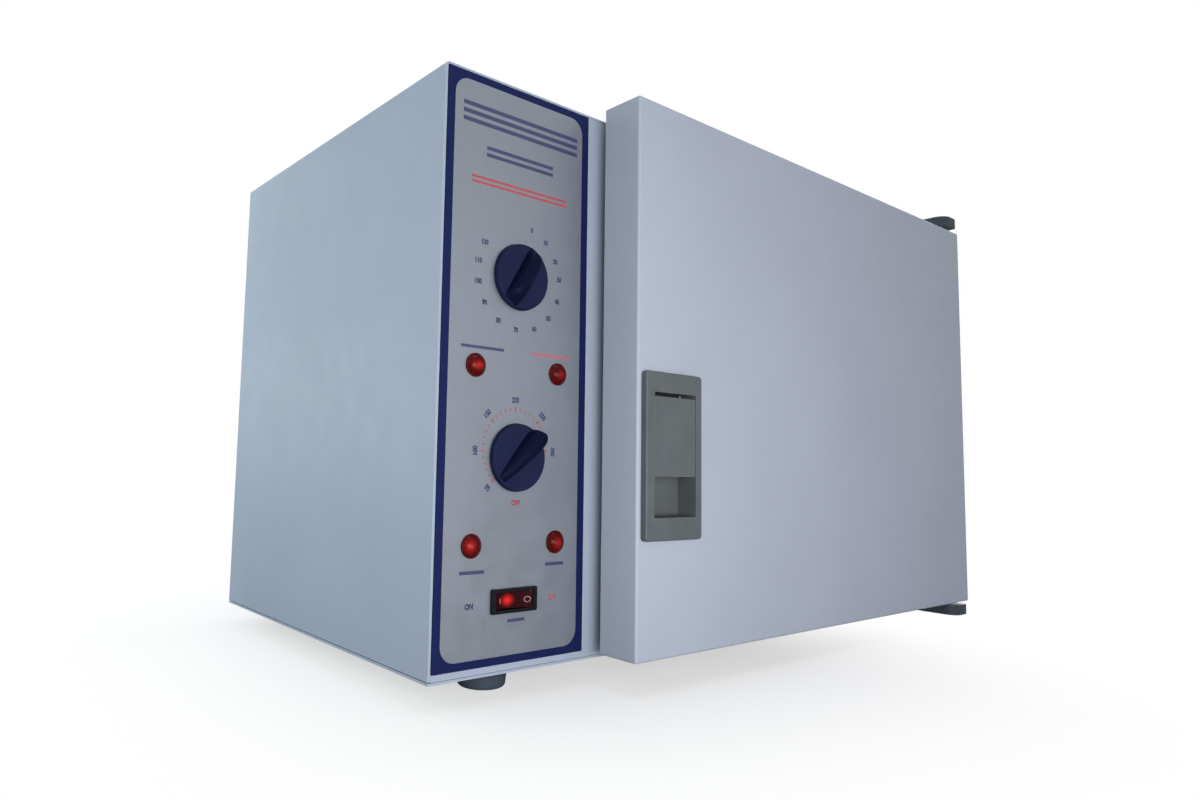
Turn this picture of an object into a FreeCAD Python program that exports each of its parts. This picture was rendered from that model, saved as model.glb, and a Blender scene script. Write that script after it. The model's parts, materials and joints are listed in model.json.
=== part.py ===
import FreeCAD, Part
import math
import os

Vector = FreeCAD.Vector
along_x = Vector(1, 0, 0)
along_y = Vector(0, 1, 0)
along_z = Vector(0, 0, 1)
straight = 1e-6           # how far an edge may lean and still count as parallel to an axis

# General clearances
overrun = 2.0             # how far a cutting shape runs past what it cuts
sheet_gap = 0.3           # between two sheets that lie side by side
seat_gap = 0.3            # between a seated piece and its seat
running_gap = 0.05        # radial, between a pin or shaft and its bore

# Case: a cover wrapped over top and sides, on a base tray
case_width = 578.0
case_depth = 296.5
case_height = 350.0
cover_sheet = 1.5
cover_bend = 2.5
cover_lip = 14.0
base_sheet = 1.5
base_seam = 0.6
base_flange = 16.0
panel_sheet = 1.2
panel_flange = 12.0
rear_sheet = 1.2
control_bay = 118.0       # left side of the case to the partition
partition_sheet = 1.0

# Feet
foot_radius = 16.2
foot_height = 15.0
foot_round = 3.0
foot_inset_x = 61.8
foot_inset_front = 33.0
foot_inset_rear = 40.0
foot_bore = 5.5
foot_floor = 6.0          # rubber left above the screw's head

# Screws: a head and a plain shank
screw_radius = 1.6
screw_head_radius = 3.2
screw_head = 2.0
screw_length = 8.0
screw_slot_width = 0.8
screw_slot_depth = 0.9
rear_screw_inset = 9.0

# Chamber liner, its insulation and what is inside it
chamber_inset = 62.0      # from the partition to the chamber
chamber_margin_right = 50.0
chamber_floor = 54.0
chamber_margin_top = 52.0
chamber_margin_rear = 71.5
chamber_corner = 6.0
liner_sheet = 1.0
liner_flange = 9.0
wool_side = 40.0
wool_above = 36.0
wool_below = 34.0
wool_behind = 32.0
runner_level_shares = (0.35, 0.66)    # of the chamber's height
runner_setback = 12.0
runner_margin_rear = 13.0
runner_leg = 12.0
runner_ledge = 10.0
runner_sheet = 1.2
shelf_sheet = 1.2
shelf_rim = 8.0
shelf_side_gap = 1.0
shelf_slots_across = 14
shelf_slot_width = 9.0
shelf_slot_border = 14.0
shelf_slot_rows = 2

# Tubular heating elements, one above the floor and one below the roof
heater_radius = 4.0
heater_lift = 16.0
heater_bend = 14.0
heater_run_count = 6
heater_margin_side = 49.0
heater_margin_front = 28.0
heater_tail = 12.0
heater_rail_sheet = 2.0
heater_rail_height = 3.0  # of the rails under the upper element
heater_rail_leg = 4.0
heater_rail_overlap = 8.0     # past the outer runs
heater_rail_setback = 45.0
insulator_radius = 8.0
insulator_length = 36.0

# Control overlay on the left of the front
overlay_left = 1.6
overlay_width = 112.4
overlay_low = 5.6
overlay_top_gap = 1.7
overlay_sheet = 0.6
overlay_corner = 0.6

# Places of the controls, from the case's bottom
timer_height = 231.9
thermostat_height = 123.7
upper_lamp_height = 175.9
lower_lamp_height = 73.3
lamp_spread = 31.8        # from the middle of the overlay to a lamp
switch_height = 41.2

# Knobs, their shafts, and the devices behind the panel
knob_radius = 20.2
knob_face_radius = 19.8
knob_skirt = 3.4
knob_edge = 0.9
knob_gap = 0.6
knob_hollow = 1.6
knob_wall = 2.4
knob_hub = 6.0
grip_height = 8.0         # of the grip's crest over the knob's face
grip_half = 4.9
grip_shoulder_shares = (0.8, 0.55)    # of the grip's half width and rise, where its flank bends
grip_crest_share = 0.25
timer_grip_shares = ((-0.93, 0.1, 1), (-0.5, 1, 1), (0.5, 1, 1), (0.93, 0.1, 1))
thermostat_grip_shares = ((-0.86, 0.3, 0.7), (0, 0.85, 1), (0.6, 1, 1))
head_half = 5.7           # the block at the upper end of the thermostat's grip
head_length = 12.0
head_corner = 2.4
head_edge = 1.0
shaft_radius = 3.0
shaft_flat = 2.2
shaft_in_knob = 6.4
shaft_in_body = 12.0
shaft_hole_gap = 1.0
timer_turn = 31.0         # degrees clockwise from straight up
thermostat_turn = 46.0
thermostat_body_width = 46.0
thermostat_body_height = 34.0
thermostat_body_depth = 30.0
device_corner = 2.0
timer_can_radius = 22.0
timer_can_depth = 34.0
timer_plate_width = 54.0
timer_plate_height = 28.0
timer_plate_sheet = 1.5
control_screw_spread = 13.0
control_screw_head = 1.4
control_screw_length = 7.0

# Sensing bulb of the thermostat
capillary_radius = 1.0
capillary_bend = 7.0
bulb_lead = 12.0          # of fine tube between its last corner and the bulb
bulb_radius = 3.2
bulb_length = 80.0
bulb_drop = 32.0          # below the chamber's roof
bulb_wall_gap = 9.0
bulb_setback = 62.0
bulb_clip_width = 6.0
bulb_clip_wall = 2.0
bulb_clip_shares = (0.25, 0.75)
grommet_gap = 0.4

# Indicator lamps
lens_radius = 6.9
lens_rim = 1.2
lens_dome = 3.6
lens_wall = 1.2
lens_neck_radius = 4.6
lens_neck = 6.0
lamp_body_radius = 5.4
lamp_body_length = 20.0
lamp_nut_radius = 8.0
lamp_nut = 3.0
lamp_hole_gap = 0.3

# Rocker switch
bezel_width = 34.0
bezel_height = 14.0
bezel_proud = 2.0
bezel_corner = 1.0
switch_window_width = 28.4
switch_window_height = 10.2
switch_body_width = 30.8
switch_body_height = 12.6
switch_body_depth = 20.0
switch_floor = 3.0
rocker_half_length = 13.2
rocker_side_gap = 0.35
rocker_pivot_depth = 3.0
rocker_crest = 0.5        # how far the middle of the rocker stands in front of the panel
rocker_slope = 7.0        # degrees, each half of the rocker's face
rocker_keel = 5.0
rocker_keel_half = 5.0
rocker_belly = 1.6
trunnion_radius = 1.5
trunnion_length = 0.8
spade_width = 6.3
spade_sheet = 0.8
spade_length = 8.0
spade_pitch = 9.0

# Terminal block on the partition
block_width = 16.0
block_length = 62.0
block_height = 18.0
block_ways = 5
block_screw_radius = 2.4
block_rise = 24.0
block_setback = 95.0

# Rear panel: air slots and the power inlet
slot_count = 9
slot_length = 62.0
slot_width = 3.6
slot_pitch = 9.0
slot_first_height = 205.0
slot_end_share = 0.49     # of the slot's width, the rounding of its ends
inlet_height = 62.0
inlet_flange_width = 50.0
inlet_flange_height = 25.0
inlet_proud = 2.6
inlet_body_width = 28.0
inlet_body_height = 20.0
inlet_body_depth = 24.0
inlet_wall = 1.6
inlet_depth = 17.5
inlet_screw_spread = 20.0
inlet_pin_width = 4.0
inlet_pin_thick = 2.0
inlet_pin_length = 10.5
inlet_pin_spread = 7.0
inlet_pin_rise = 3.4
inlet_corner = 5.0

# Door
door_left = 120.5
door_right_gap = 2.2      # from the door to the case's right side
door_low = 4.3
door_rise = 2.4           # of the door over the case's top
door_thick = 29.1
door_gap = 10.0
door_sheet = 1.2
door_edge = 1.6
door_corner = 1.2
door_liner_sheet = 1.0
door_liner_rim = 14.0
door_wool_gap = 1.0
gasket_width = 11.0
gasket_reveal = 3.0
gasket_corner = 8.0
gasket_round = 2.5

# Hinges: a bracket with a pin above the door and one below
pin_inset = 13.8          # from the door's right edge
pin_setback = 12.0        # in front of the door's rear face
pin_radius = 4.0
pin_in_door = 12.0
bush_wall = 2.0
bush_collar = 3.5
bush_collar_thick = 1.2
bush_length = 14.0
hinge_block_width = 24.0
hinge_block_height = 16.0
bracket_width = 24.0
bracket_thick = 9.0
bracket_gap_top = 5.4
bracket_gap_low = 3.2
bracket_setback = 1.6     # behind the door's front face
bracket_overhang = 1.0    # past the door's right edge
bracket_big_round = 10.0
bracket_small_round = 3.0
bracket_leg_sheet = 2.5
bracket_leg = 38.0
bracket_screw_pitch = 16.0
bracket_screw_drop = 4.0    # of the upper pair, clear of the panel's edge
bracket_screw_head = 1.4
bracket_screw_length = 6.0

# Latch on the door
latch_left = 123.6
latch_low = 75.6
latch_width = 52.8
latch_height = 103.0
latch_proud = 4.6
latch_corner = 2.5
latch_edge = 1.2
cup_left = 7.1            # from the frame's left edge to the cup's inside
cup_low = 14.0
cup_width = 39.4
cup_height = 76.4
cup_depth = 11.8
cup_wall = 2.0
paddle_length = 48.9
paddle_top_gap = 2.6
paddle_side_gap = 0.4
paddle_thick = 3.5
paddle_set_in = 0.3
paddle_pivot_drop = 5.0
paddle_pivot_back = 3.8   # behind the paddle's front face
paddle_boss_radius = 2.9
paddle_lip = 5.0
latch_pin_radius = 1.5
hook_sheet = 3.0
hook_height = 6.0
hook_reach = 10.0         # behind the case's front face
hook_nose = 5.0
hook_nose_length = 6.0
hook_slot_width = 9.0
hook_slot_above = 10.0
hook_slot_below = 24.0
cup_slot_above = 4.5
cup_slot_below = 10.5
spring_wire = 0.3
spring_turns = 6
spring_pitch = 0.9
spring_leg = 9.0
spring_side_gap = 4.0
strike_sheet = 0.6
strike_width = 14.0
strike_foot = 12.0
strike_bite = 3.6
strike_knee = 2.4

# Where the case stands in the part's own frame: centred across and in depth, feet at zero height
front_reach = door_gap + door_thick + latch_proud
rear_reach = case_depth + inlet_proud
case_front = (front_reach - rear_reach) / 2
case_bottom = foot_height
control_middle = overlay_left + overlay_width / 2
door_front = -door_gap - door_thick
door_right = case_width - door_right_gap
door_top = case_height + door_rise
chamber_left = control_bay + chamber_inset
chamber_right = case_width - chamber_margin_right
chamber_roof = case_height - chamber_margin_top
liner_back = case_depth - chamber_margin_rear + panel_sheet
panel_side = cover_sheet + sheet_gap
panel_low = base_sheet + sheet_gap
panel_top = case_height - cover_sheet - sheet_gap
pin_x = door_right - pin_inset
pin_y = -door_gap - pin_setback
cup_x = latch_left + cup_left
cup_z = latch_low + cup_low
cup_top = cup_z + cup_height
cup_back = door_front + cup_depth
hook_x = cup_x + cup_width / 2
pivot_y = door_front - latch_proud + paddle_set_in + paddle_pivot_back
pivot_z = cup_top - paddle_top_gap - paddle_pivot_drop
knob_back = -overlay_sheet - knob_gap


def local(x, y, z):
    """A point given from the case's front lower left corner, in the part's own frame."""
    return Vector(x - case_width / 2, y + case_front, z + case_bottom)


def slab(x, y, z):
    sizes = [high - low for low, high in (x, y, z)]
    return Part.makeBox(*sizes, local(x[0], y[0], z[0]))


def around(middle, half):
    return (middle - half, middle + half)


def grown(pair, by):
    return (pair[0] - by, pair[1] + by)


def rod(radius, start, end):
    foot = local(*start)
    reach = local(*end) - foot
    return Part.makeCylinder(radius, reach.Length, foot, reach)


def cone(radius_start, radius_end, start, end):
    foot = local(*start)
    reach = local(*end) - foot
    return Part.makeCone(radius_start, radius_end, reach.Length, foot, reach)


def extruded(points, reach):
    corners = [local(*point) for point in points]
    return Part.Face(Part.makePolygon(corners + corners[:1])).extrude(reach)


def joined(shapes):
    return shapes[0].multiFuse(shapes[1:]).removeSplitter()


def rounded(shape, radius, axis):
    """Rounds every straight edge that runs along the axis."""
    edges = [edge for edge in shape.Edges
             if isinstance(edge.Curve, Part.Line) and runs_along(edge, axis)]
    return shape.makeFillet(radius, edges)


def runs_along(edge, axis):
    return edge.tangentAt(edge.FirstParameter).cross(axis).Length < straight


def edges_at(shape, point, axis, kind):
    """The edges of one kind of curve that lie in the plane through a point, square to an axis."""
    return [edge for edge in shape.Edges
            if isinstance(edge.Curve, kind)
            and all(abs((vertex.Point - point).dot(axis)) < straight for vertex in edge.Vertexes)]


def bent_rod(points, radius, bend):
    """A round rod along straight runs that are joined by arcs."""
    corners = [local(*point) for point in points]
    edges, here = [], corners[0]
    for before, corner, after in zip(corners, corners[1:], corners[2:]):
        back = (before - corner).normalize()
        ahead = (after - corner).normalize()
        half = back.getAngle(ahead) / 2
        inward = (back + ahead).normalize()
        start = corner + back * (bend / math.tan(half))
        stop = corner + ahead * (bend / math.tan(half))
        middle = corner + inward * (bend / math.sin(half) - bend)
        edges.append(Part.LineSegment(here, start).toShape())
        edges.append(Part.Arc(start, middle, stop).toShape())
        here = stop
    edges.append(Part.LineSegment(here, corners[-1]).toShape())
    ring = Part.Wire(Part.Circle(corners[0], corners[1] - corners[0], radius).toShape())
    return Part.Wire(edges).makePipeShell([ring], True, False)


def screw(start, direction, length, head_radius, head):
    """A slotted screw: start is the underside of its head, and direction points along the shank."""
    foot = local(*start)
    shank = Part.makeCylinder(screw_radius, length, foot, direction)
    cap = Part.makeCylinder(head_radius, head, foot, direction * -1)
    half_slot = direction.cross(along_x) * (screw_slot_width / 2)
    reach = along_x * head_radius
    top = foot - direction * head
    corners = [top - reach - half_slot, top + reach - half_slot, top + reach + half_slot, top - reach + half_slot]
    slot = Part.Face(Part.makePolygon(corners + corners[:1])).extrude(direction * screw_slot_depth)
    return joined([shank, cap]).cut(slot)


def outer_cover():
    side_foot = base_sheet + base_seam
    wrap = rounded_top(slab((0, case_width), (0, case_depth), (side_foot, case_height)), cover_bend)
    inside = rounded_top(
        slab((cover_sheet, case_width - cover_sheet), (-overrun, case_depth + overrun),
             (side_foot - overrun, case_height - cover_sheet)), cover_bend - cover_sheet)
    lip_y = (case_depth - rear_sheet - cover_sheet, case_depth - rear_sheet)
    low = base_sheet + base_flange + sheet_gap
    lips = [slab((cover_sheet, cover_sheet + cover_lip), lip_y, (low, case_height - cover_sheet)),
            slab((case_width - cover_sheet - cover_lip, case_width - cover_sheet), lip_y,
                 (low, case_height - cover_sheet)),
            slab((cover_sheet, case_width - cover_sheet), lip_y,
                 (case_height - cover_sheet - cover_lip, case_height - cover_sheet))]
    cover = joined([wrap.cut(inside)] + lips)
    for x, z in rear_screw_places():
        cover = cover.cut(rod(screw_radius + running_gap, (x, lip_y[0] - overrun, z),
                              (x, lip_y[1] + overrun, z)))
    return cover


def rounded_top(block, radius):
    """Rounds the two upper edges that run from front to back."""
    top = block.BoundBox.ZMax
    edges = [edge for edge in block.Edges
             if abs(edge.Length - block.BoundBox.YLength) < straight
             and abs(edge.Vertexes[0].Point.z - top) < straight
             and abs(edge.Vertexes[1].Point.z - top) < straight]
    return block.makeFillet(radius, edges)


def rear_screw_places():
    """Screws through the rear panel: five into the cover's lips, two into the base tray."""
    left, right = rear_screw_inset, case_width - rear_screw_inset
    middle = case_width / 2
    top = case_height - rear_screw_inset
    half_height = (base_flange + top) / 2
    low = (base_sheet + base_flange) / 2
    third = case_width / 3
    return [(left, top), (right, top), (middle, top), (left, half_height), (right, half_height),
            (third, low), (case_width - third, low)]


def base_tray():
    tray = [slab((0, case_width), (0, case_depth), (0, base_sheet))]
    flange_y = (panel_flange + panel_sheet + sheet_gap, case_depth - rear_sheet - cover_sheet - sheet_gap)
    for low in (panel_side, case_width - panel_side - base_sheet):
        tray.append(slab((low, low + base_sheet), flange_y, (0, base_flange)))
    tray.append(slab((cover_lip, case_width - cover_lip),
                     (case_depth - rear_sheet - base_sheet, case_depth - rear_sheet), (0, base_flange)))
    tray = joined(tray)
    for x, y in foot_places():
        tray = tray.cut(rod(screw_radius + running_gap, (x, y, -overrun), (x, y, base_sheet + overrun)))
    for x, z in rear_screw_places():
        if z < base_flange:
            tray = tray.cut(rod(screw_radius + running_gap, (x, flange_y[1] - overrun, z),
                                (x, case_depth + overrun, z)))
    return tray


def front_panel():
    x = (panel_side, case_width - panel_side)
    z = (panel_low, panel_top)
    back = panel_sheet + panel_flange
    panel = slab(x, (0, back), z).cut(
        slab(grown(x, -panel_sheet), (panel_sheet, back + overrun), grown(z, -panel_sheet)))
    opening = rounded(slab((chamber_left, chamber_right), (-overrun, panel_sheet + overrun),
                           (chamber_floor, chamber_roof)), chamber_corner, along_y)
    return panel.cut([opening] + front_holes())


def front_holes():
    """Everything that passes through the front panel beside the chamber's opening."""
    through = (-overrun, panel_sheet + overrun)
    holes = control_holes(through)
    holes.append(slab(around(hook_x, hook_slot_width / 2), through,
                      (pivot_z - hook_slot_below, pivot_z + hook_slot_above)))
    for x, z in bracket_screw_places():
        holes.append(rod(screw_radius + running_gap, (x, through[0], z), (x, through[1], z)))
    return holes


def control_holes(through):
    """The holes for shafts, lamps, screws and the switch, through the panel and its overlay alike."""
    holes = [slab(around(control_middle, switch_body_width / 2 + seat_gap), through,
                  around(switch_height, switch_body_height / 2 + seat_gap))]
    for x, z in lamp_places():
        holes.append(rod(lens_neck_radius + lamp_hole_gap, (x, through[0], z), (x, through[1], z)))
    for height in (timer_height, thermostat_height):
        holes.append(rod(shaft_radius + shaft_hole_gap, (control_middle, through[0], height),
                         (control_middle, through[1], height)))
        for x in around(control_middle, control_screw_spread):
            holes.append(rod(screw_radius + seat_gap, (x, through[0], height), (x, through[1], height)))
    return holes


def lamp_places():
    return [(x, z) for z in (upper_lamp_height, lower_lamp_height)
            for x in around(control_middle, lamp_spread)]


def foot_places():
    return [(x, y) for y in (foot_inset_front, case_depth - foot_inset_rear)
            for x in (foot_inset_x, case_width - foot_inset_x)]


def bracket_screw_places():
    middle = door_right + bracket_overhang - bracket_width / 2
    top = door_top + bracket_gap_top - bracket_leg / 2 - bracket_screw_drop
    low = door_low - bracket_gap_low + bracket_leg / 2
    return [(middle, z) for height in (top, low) for z in around(height, bracket_screw_pitch / 2)]


def control_overlay():
    sheet = rounded(slab((overlay_left, overlay_left + overlay_width), (-overlay_sheet, 0),
                         (overlay_low, case_height - overlay_top_gap)), overlay_corner, along_y)
    return sheet.cut(control_holes((-overlay_sheet - overrun, overrun)))


def rear_panel():
    panel = slab((panel_side, case_width - panel_side), (case_depth - rear_sheet, case_depth),
                 (panel_low, panel_top))
    through = (case_depth - rear_sheet - overrun, case_depth + overrun)
    holes = [slab(around(control_middle, inlet_body_width / 2 + seat_gap), through,
                  around(inlet_height, inlet_body_height / 2 + seat_gap))]
    for x in around(control_middle, inlet_screw_spread):
        holes.append(rod(screw_radius + running_gap, (x, through[0], inlet_height),
                         (x, through[1], inlet_height)))
    for number in range(slot_count):
        z = slot_first_height + number * slot_pitch
        holes.append(rounded(slab(around(control_middle, slot_length / 2), through,
                                  around(z, slot_width / 2)), slot_width * slot_end_share, along_y))
    for x, z in rear_screw_places():
        holes.append(rod(screw_radius + seat_gap, (x, through[0], z), (x, through[1], z)))
    return panel.cut(holes)


def rear_screws():
    return [screw((x, case_depth, z), along_y * -1, screw_length, screw_head_radius, screw_head)
            for x, z in rear_screw_places()]


def partition():
    sheet = slab((control_bay, control_bay + partition_sheet),
                 (panel_flange + panel_sheet + sheet_gap,
                  case_depth - rear_sheet - cover_sheet - sheet_gap),
                 (base_sheet, case_height - cover_sheet - cover_lip - sheet_gap))
    hole = bulb_hole(control_bay - overrun, control_bay + partition_sheet + overrun)
    return sheet.cut(hole)


def bulb_hole(start, end):
    """The way of the thermostat's fine tube through a wall, along X."""
    z = chamber_roof - bulb_drop
    return rod(capillary_radius + grommet_gap, (start, bulb_setback, z), (end, bulb_setback, z))


def foot(place):
    x, y = place
    rubber = rod(foot_radius, (x, y, -foot_height), (x, y, 0))
    rubber = rubber.makeFillet(foot_round, edges_at(rubber, local(x, y, -foot_height), along_z, Part.Circle))
    bore = rod(foot_bore, (x, y, -foot_height - overrun), (x, y, -foot_floor))
    hole = rod(screw_radius + running_gap, (x, y, -foot_height), (x, y, overrun))
    return rubber.cut([bore, hole])


def foot_screws():
    return [screw((x, y, -foot_floor), along_z, foot_floor + screw_length, screw_head_radius, screw_head)
            for x, y in foot_places()]


def chamber_liner():
    """An open box with a flange that lies against the back of the front panel."""
    inner = ((chamber_left, chamber_right), (panel_sheet, liner_back), (chamber_floor, chamber_roof))
    shell = rounded(slab(grown(inner[0], liner_sheet), (panel_sheet, liner_back + liner_sheet),
                         grown(inner[2], liner_sheet)), chamber_corner + liner_sheet, along_y)
    rim = rounded(slab(grown(inner[0], liner_flange), (panel_sheet, panel_sheet + liner_sheet),
                       grown(inner[2], liner_flange)), chamber_corner + liner_flange, along_y)
    hollow = rounded(slab(inner[0], (panel_sheet - overrun, liner_back), inner[2]),
                     chamber_corner, along_y)
    ends = [rod(heater_radius + grommet_gap, (x, liner_back - overrun, z),
                (x, liner_back + liner_sheet + overrun, z)) for x, z in heater_ends()]
    tube = bulb_hole(chamber_left - liner_sheet - overrun, chamber_left + overrun)
    return joined([shell, rim]).cut([hollow, tube] + ends)


def chamber_insulation():
    """Mineral wool packed round the liner on its five sides."""
    x = (control_bay + partition_sheet + sheet_gap, chamber_right + wool_side)
    z = (chamber_floor - wool_below, chamber_roof + wool_above)
    wool = slab(x, (panel_sheet + panel_flange + sheet_gap, liner_back + wool_behind), z)
    inside = rounded(slab(grown((chamber_left, chamber_right), liner_sheet + seat_gap),
                          (0, liner_back + liner_sheet + seat_gap),
                          grown((chamber_floor, chamber_roof), liner_sheet + seat_gap)),
                     chamber_corner + liner_sheet + seat_gap, along_y)
    ways = [rod(insulator_radius + grommet_gap, (x, liner_back, z), (x, liner_back + wool_behind + overrun, z))
            for x, z in heater_ends()]
    tube = bulb_hole(control_bay, chamber_left)
    return wool.cut([inside, tube] + ways)


def runner_places():
    """Wall, direction into the chamber and height of each shelf runner, by side."""
    sides = {"left": (chamber_left, 1), "right": (chamber_right, -1)}
    return {side: [(wall, inward, level) for level in runner_heights()]
            for side, (wall, inward) in sides.items()}


def runner_heights():
    return [chamber_floor + share * (chamber_roof - chamber_floor) for share in runner_level_shares]


def runner_reach():
    return (panel_sheet + runner_setback, liner_back - runner_margin_rear)


def shelf_runner(wall, inward, z):
    """An angle whose upright leg lies on the wall and whose ledge carries the shelf."""
    y = runner_reach()
    upright = slab(sorted((wall, wall + inward * runner_sheet)), y, (z - runner_leg, z))
    ledge = slab(sorted((wall, wall + inward * runner_ledge)), y, (z - runner_sheet, z))
    return joined([upright, ledge])


def shelf(z):
    """A tray shelf with slots and with its front and rear edges turned up."""
    x = grown((chamber_left, chamber_right), -shelf_side_gap)
    y = runner_reach()
    plate = slab(x, y, (z, z + shelf_sheet))
    rims = [slab(x, (edge, edge + shelf_sheet), (z, z + shelf_rim)) for edge in (y[0], y[1] - shelf_sheet)]
    pitch_x = (x[1] - x[0] - shelf_slot_border) / shelf_slots_across
    pitch_y = (y[1] - y[0] - shelf_slot_border) / shelf_slot_rows
    slots = []
    for column in range(shelf_slots_across):
        for row in range(shelf_slot_rows):
            start_x = x[0] + shelf_slot_border + column * pitch_x
            start_y = y[0] + shelf_slot_border + row * pitch_y
            slots.append(slab((start_x, start_x + shelf_slot_width),
                              (start_y, start_y + pitch_y - shelf_slot_border),
                              (z - overrun, z + shelf_sheet + overrun)))
    return joined([plate] + rims).cut(slots)


def heater_heights():
    return {"lower": chamber_floor + heater_lift, "upper": chamber_roof - heater_lift}


def heater_runs():
    """The X places of one element's straight runs; the first and last leave through the back."""
    first, last = grown((chamber_left, chamber_right), -heater_margin_side)
    return [first + (last - first) * number / (heater_run_count - 1) for number in range(heater_run_count)]


def heater_ends():
    runs = heater_runs()
    return [(x, z) for z in heater_heights().values() for x in (runs[0], runs[-1])]


def heater(z):
    """One serpentine element in a level plane."""
    runs = heater_runs()
    front = panel_sheet + heater_margin_front
    back = liner_back - heater_margin_front
    tail = liner_back + liner_sheet + insulator_length + heater_tail
    points = []
    for number, x in enumerate(runs):
        ends = (back, front) if number % 2 == 0 else (front, back)
        points += [(x, end, z) for end in ends]
    points[0], points[-1] = (runs[0], tail, z), (runs[-1], tail, z)
    return bent_rod(points, heater_radius, heater_bend)


def heater_rails():
    """Strips on edge that carry the elements: two on the chamber's floor, two hung from its roof."""
    runs, heights = heater_runs(), heater_heights()
    x = grown((runs[0], runs[-1]), heater_radius + heater_rail_overlap)
    under = {level: z - heater_radius for level, z in heights.items()}
    rails = []
    for middle in (panel_sheet + heater_rail_setback, liner_back - heater_rail_setback):
        y = around(middle, heater_rail_sheet / 2)
        rails.append(slab(x, y, (chamber_floor, under["lower"])))
        rails.append(slab(x, y, (under["upper"] - heater_rail_height, under["upper"])))
        for leg in ((x[0], x[0] + heater_rail_leg), (x[1] - heater_rail_leg, x[1])):
            rails.append(slab(leg, y, (under["upper"], chamber_roof)))
    return rails


def heater_insulators():
    """Ceramic bushes round the elements' ends, behind the liner."""
    start = liner_back + liner_sheet
    bushes = []
    for x, z in heater_ends():
        body = rod(insulator_radius, (x, start, z), (x, start + insulator_length, z))
        bushes.append(body.cut(rod(heater_radius + running_gap, (x, start - overrun, z),
                                   (x, start + insulator_length + overrun, z))))
    return bushes


def bulb_end():
    """Where the fine tube meets the bulb, near the chamber's left wall."""
    return (chamber_left + bulb_wall_gap, bulb_setback + bulb_lead, chamber_roof - bulb_drop)


def sensing_bulb():
    x, y, z = bulb_end()
    return rod(bulb_radius, (x, y, z), (x, y + bulb_length, z))


def bulb_clips():
    x, y, z = bulb_end()
    clips = []
    for share in bulb_clip_shares:
        middle = y + share * bulb_length
        block = slab((chamber_left, x + bulb_radius + bulb_clip_wall), around(middle, bulb_clip_width / 2),
                     around(z, bulb_radius + bulb_clip_wall))
        clips.append(block.cut(rod(bulb_radius + running_gap, (x, middle - bulb_clip_width, z),
                                   (x, middle + bulb_clip_width, z))))
    return clips


def capillary():
    """The fine tube from the thermostat's back, through three walls, to the bulb."""
    x, y, z = bulb_end()
    start = panel_sheet + thermostat_body_depth
    points = [(control_middle, start, thermostat_height),
              (control_middle, bulb_setback, thermostat_height),
              (control_middle, bulb_setback, z), (x, bulb_setback, z), (x, y, z)]
    return bent_rod(points, capillary_radius, capillary_bend)


def d_rod(radius, flat, y, height, at_turn):
    """A round bar with a flat along it, about the axis of a control."""
    middle = control_middle
    bar = rod(radius, (middle, y[1], height), (middle, y[0], height))
    shave = slab(around(middle, radius + overrun), y, (height + flat, height + radius + overrun))
    shave.rotate(local(middle, 0, height), along_y, at_turn)
    return bar.cut(shave)


def control_shaft(height, at_turn):
    outer_end = knob_back - shaft_in_knob + seat_gap
    inner_end = panel_sheet + shaft_in_body - seat_gap
    flat_part = d_rod(shaft_radius, shaft_flat, (outer_end, 0), height, at_turn)
    round_part = rod(shaft_radius, (control_middle, 0, height), (control_middle, inner_end, height))
    return joined([flat_part, round_part])


def grip(height, shares):
    """The ridge across a knob, drawn through sections: each has shares of reach, rise and width."""
    face = knob_back - knob_skirt
    sections = []
    for along, rise, width in shares:
        half, top = grip_half * width, grip_height * rise
        shoulder = (half * grip_shoulder_shares[0], face - top * grip_shoulder_shares[1])
        right = [(half, knob_back), (half, face), shoulder, (half * grip_crest_share, face - top)]
        outline = right + [(-x, y) for x, y in reversed(right)]
        corners = [local(control_middle + x, y, height + knob_face_radius * along) for x, y in outline]
        sections.append(Part.makePolygon(corners + corners[:1]))
    return Part.makeLoft(sections, True, True)


def grip_head(height):
    """The rounded block at the upper end of the thermostat's grip."""
    front = knob_back - knob_skirt - grip_height
    top = height + knob_face_radius
    block = rounded(slab(around(control_middle, head_half), (front, knob_back), (top - head_length, top)),
                    head_corner, along_y)
    return block.makeFillet(head_edge, edges_of_face(block, local(0, front, 0), along_y))


def knob(height, at_turn, raised):
    """A hollow disc with the raised shapes across it, cut to the shape of its shaft."""
    middle = control_middle
    face = knob_back - knob_skirt
    disc = cone(knob_radius, knob_face_radius, (middle, knob_back, height), (middle, face, height))
    disc = disc.makeFillet(knob_edge, edges_at(disc, local(middle, face, height), along_y, Part.Circle))
    hollow = rod(knob_radius - knob_wall, (middle, knob_back + overrun, height),
                 (middle, knob_back - knob_hollow, height))
    hub = rod(knob_hub, (middle, knob_back, height), (middle, face, height))
    bore = d_rod(shaft_radius + running_gap, shaft_flat + running_gap,
                 (knob_back - shaft_in_knob, knob_back + overrun), height, 0)
    shape = joined([joined([disc] + raised).cut(hollow), hub]).cut(bore)
    shape.rotate(local(middle, 0, height), along_y, at_turn)
    return shape


def thermostat_body():
    x = around(control_middle, thermostat_body_width / 2)
    z = around(thermostat_height, thermostat_body_height / 2)
    body = rounded(slab(x, (panel_sheet, panel_sheet + thermostat_body_depth), z), device_corner, along_y)
    return body.cut(control_bores(thermostat_height))


def timer_body():
    plate = slab(around(control_middle, timer_plate_width / 2),
                 (panel_sheet, panel_sheet + timer_plate_sheet), around(timer_height, timer_plate_height / 2))
    can = rod(timer_can_radius, (control_middle, panel_sheet, timer_height),
              (control_middle, panel_sheet + timer_can_depth, timer_height))
    return joined([plate, can]).cut(control_bores(timer_height))


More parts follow.
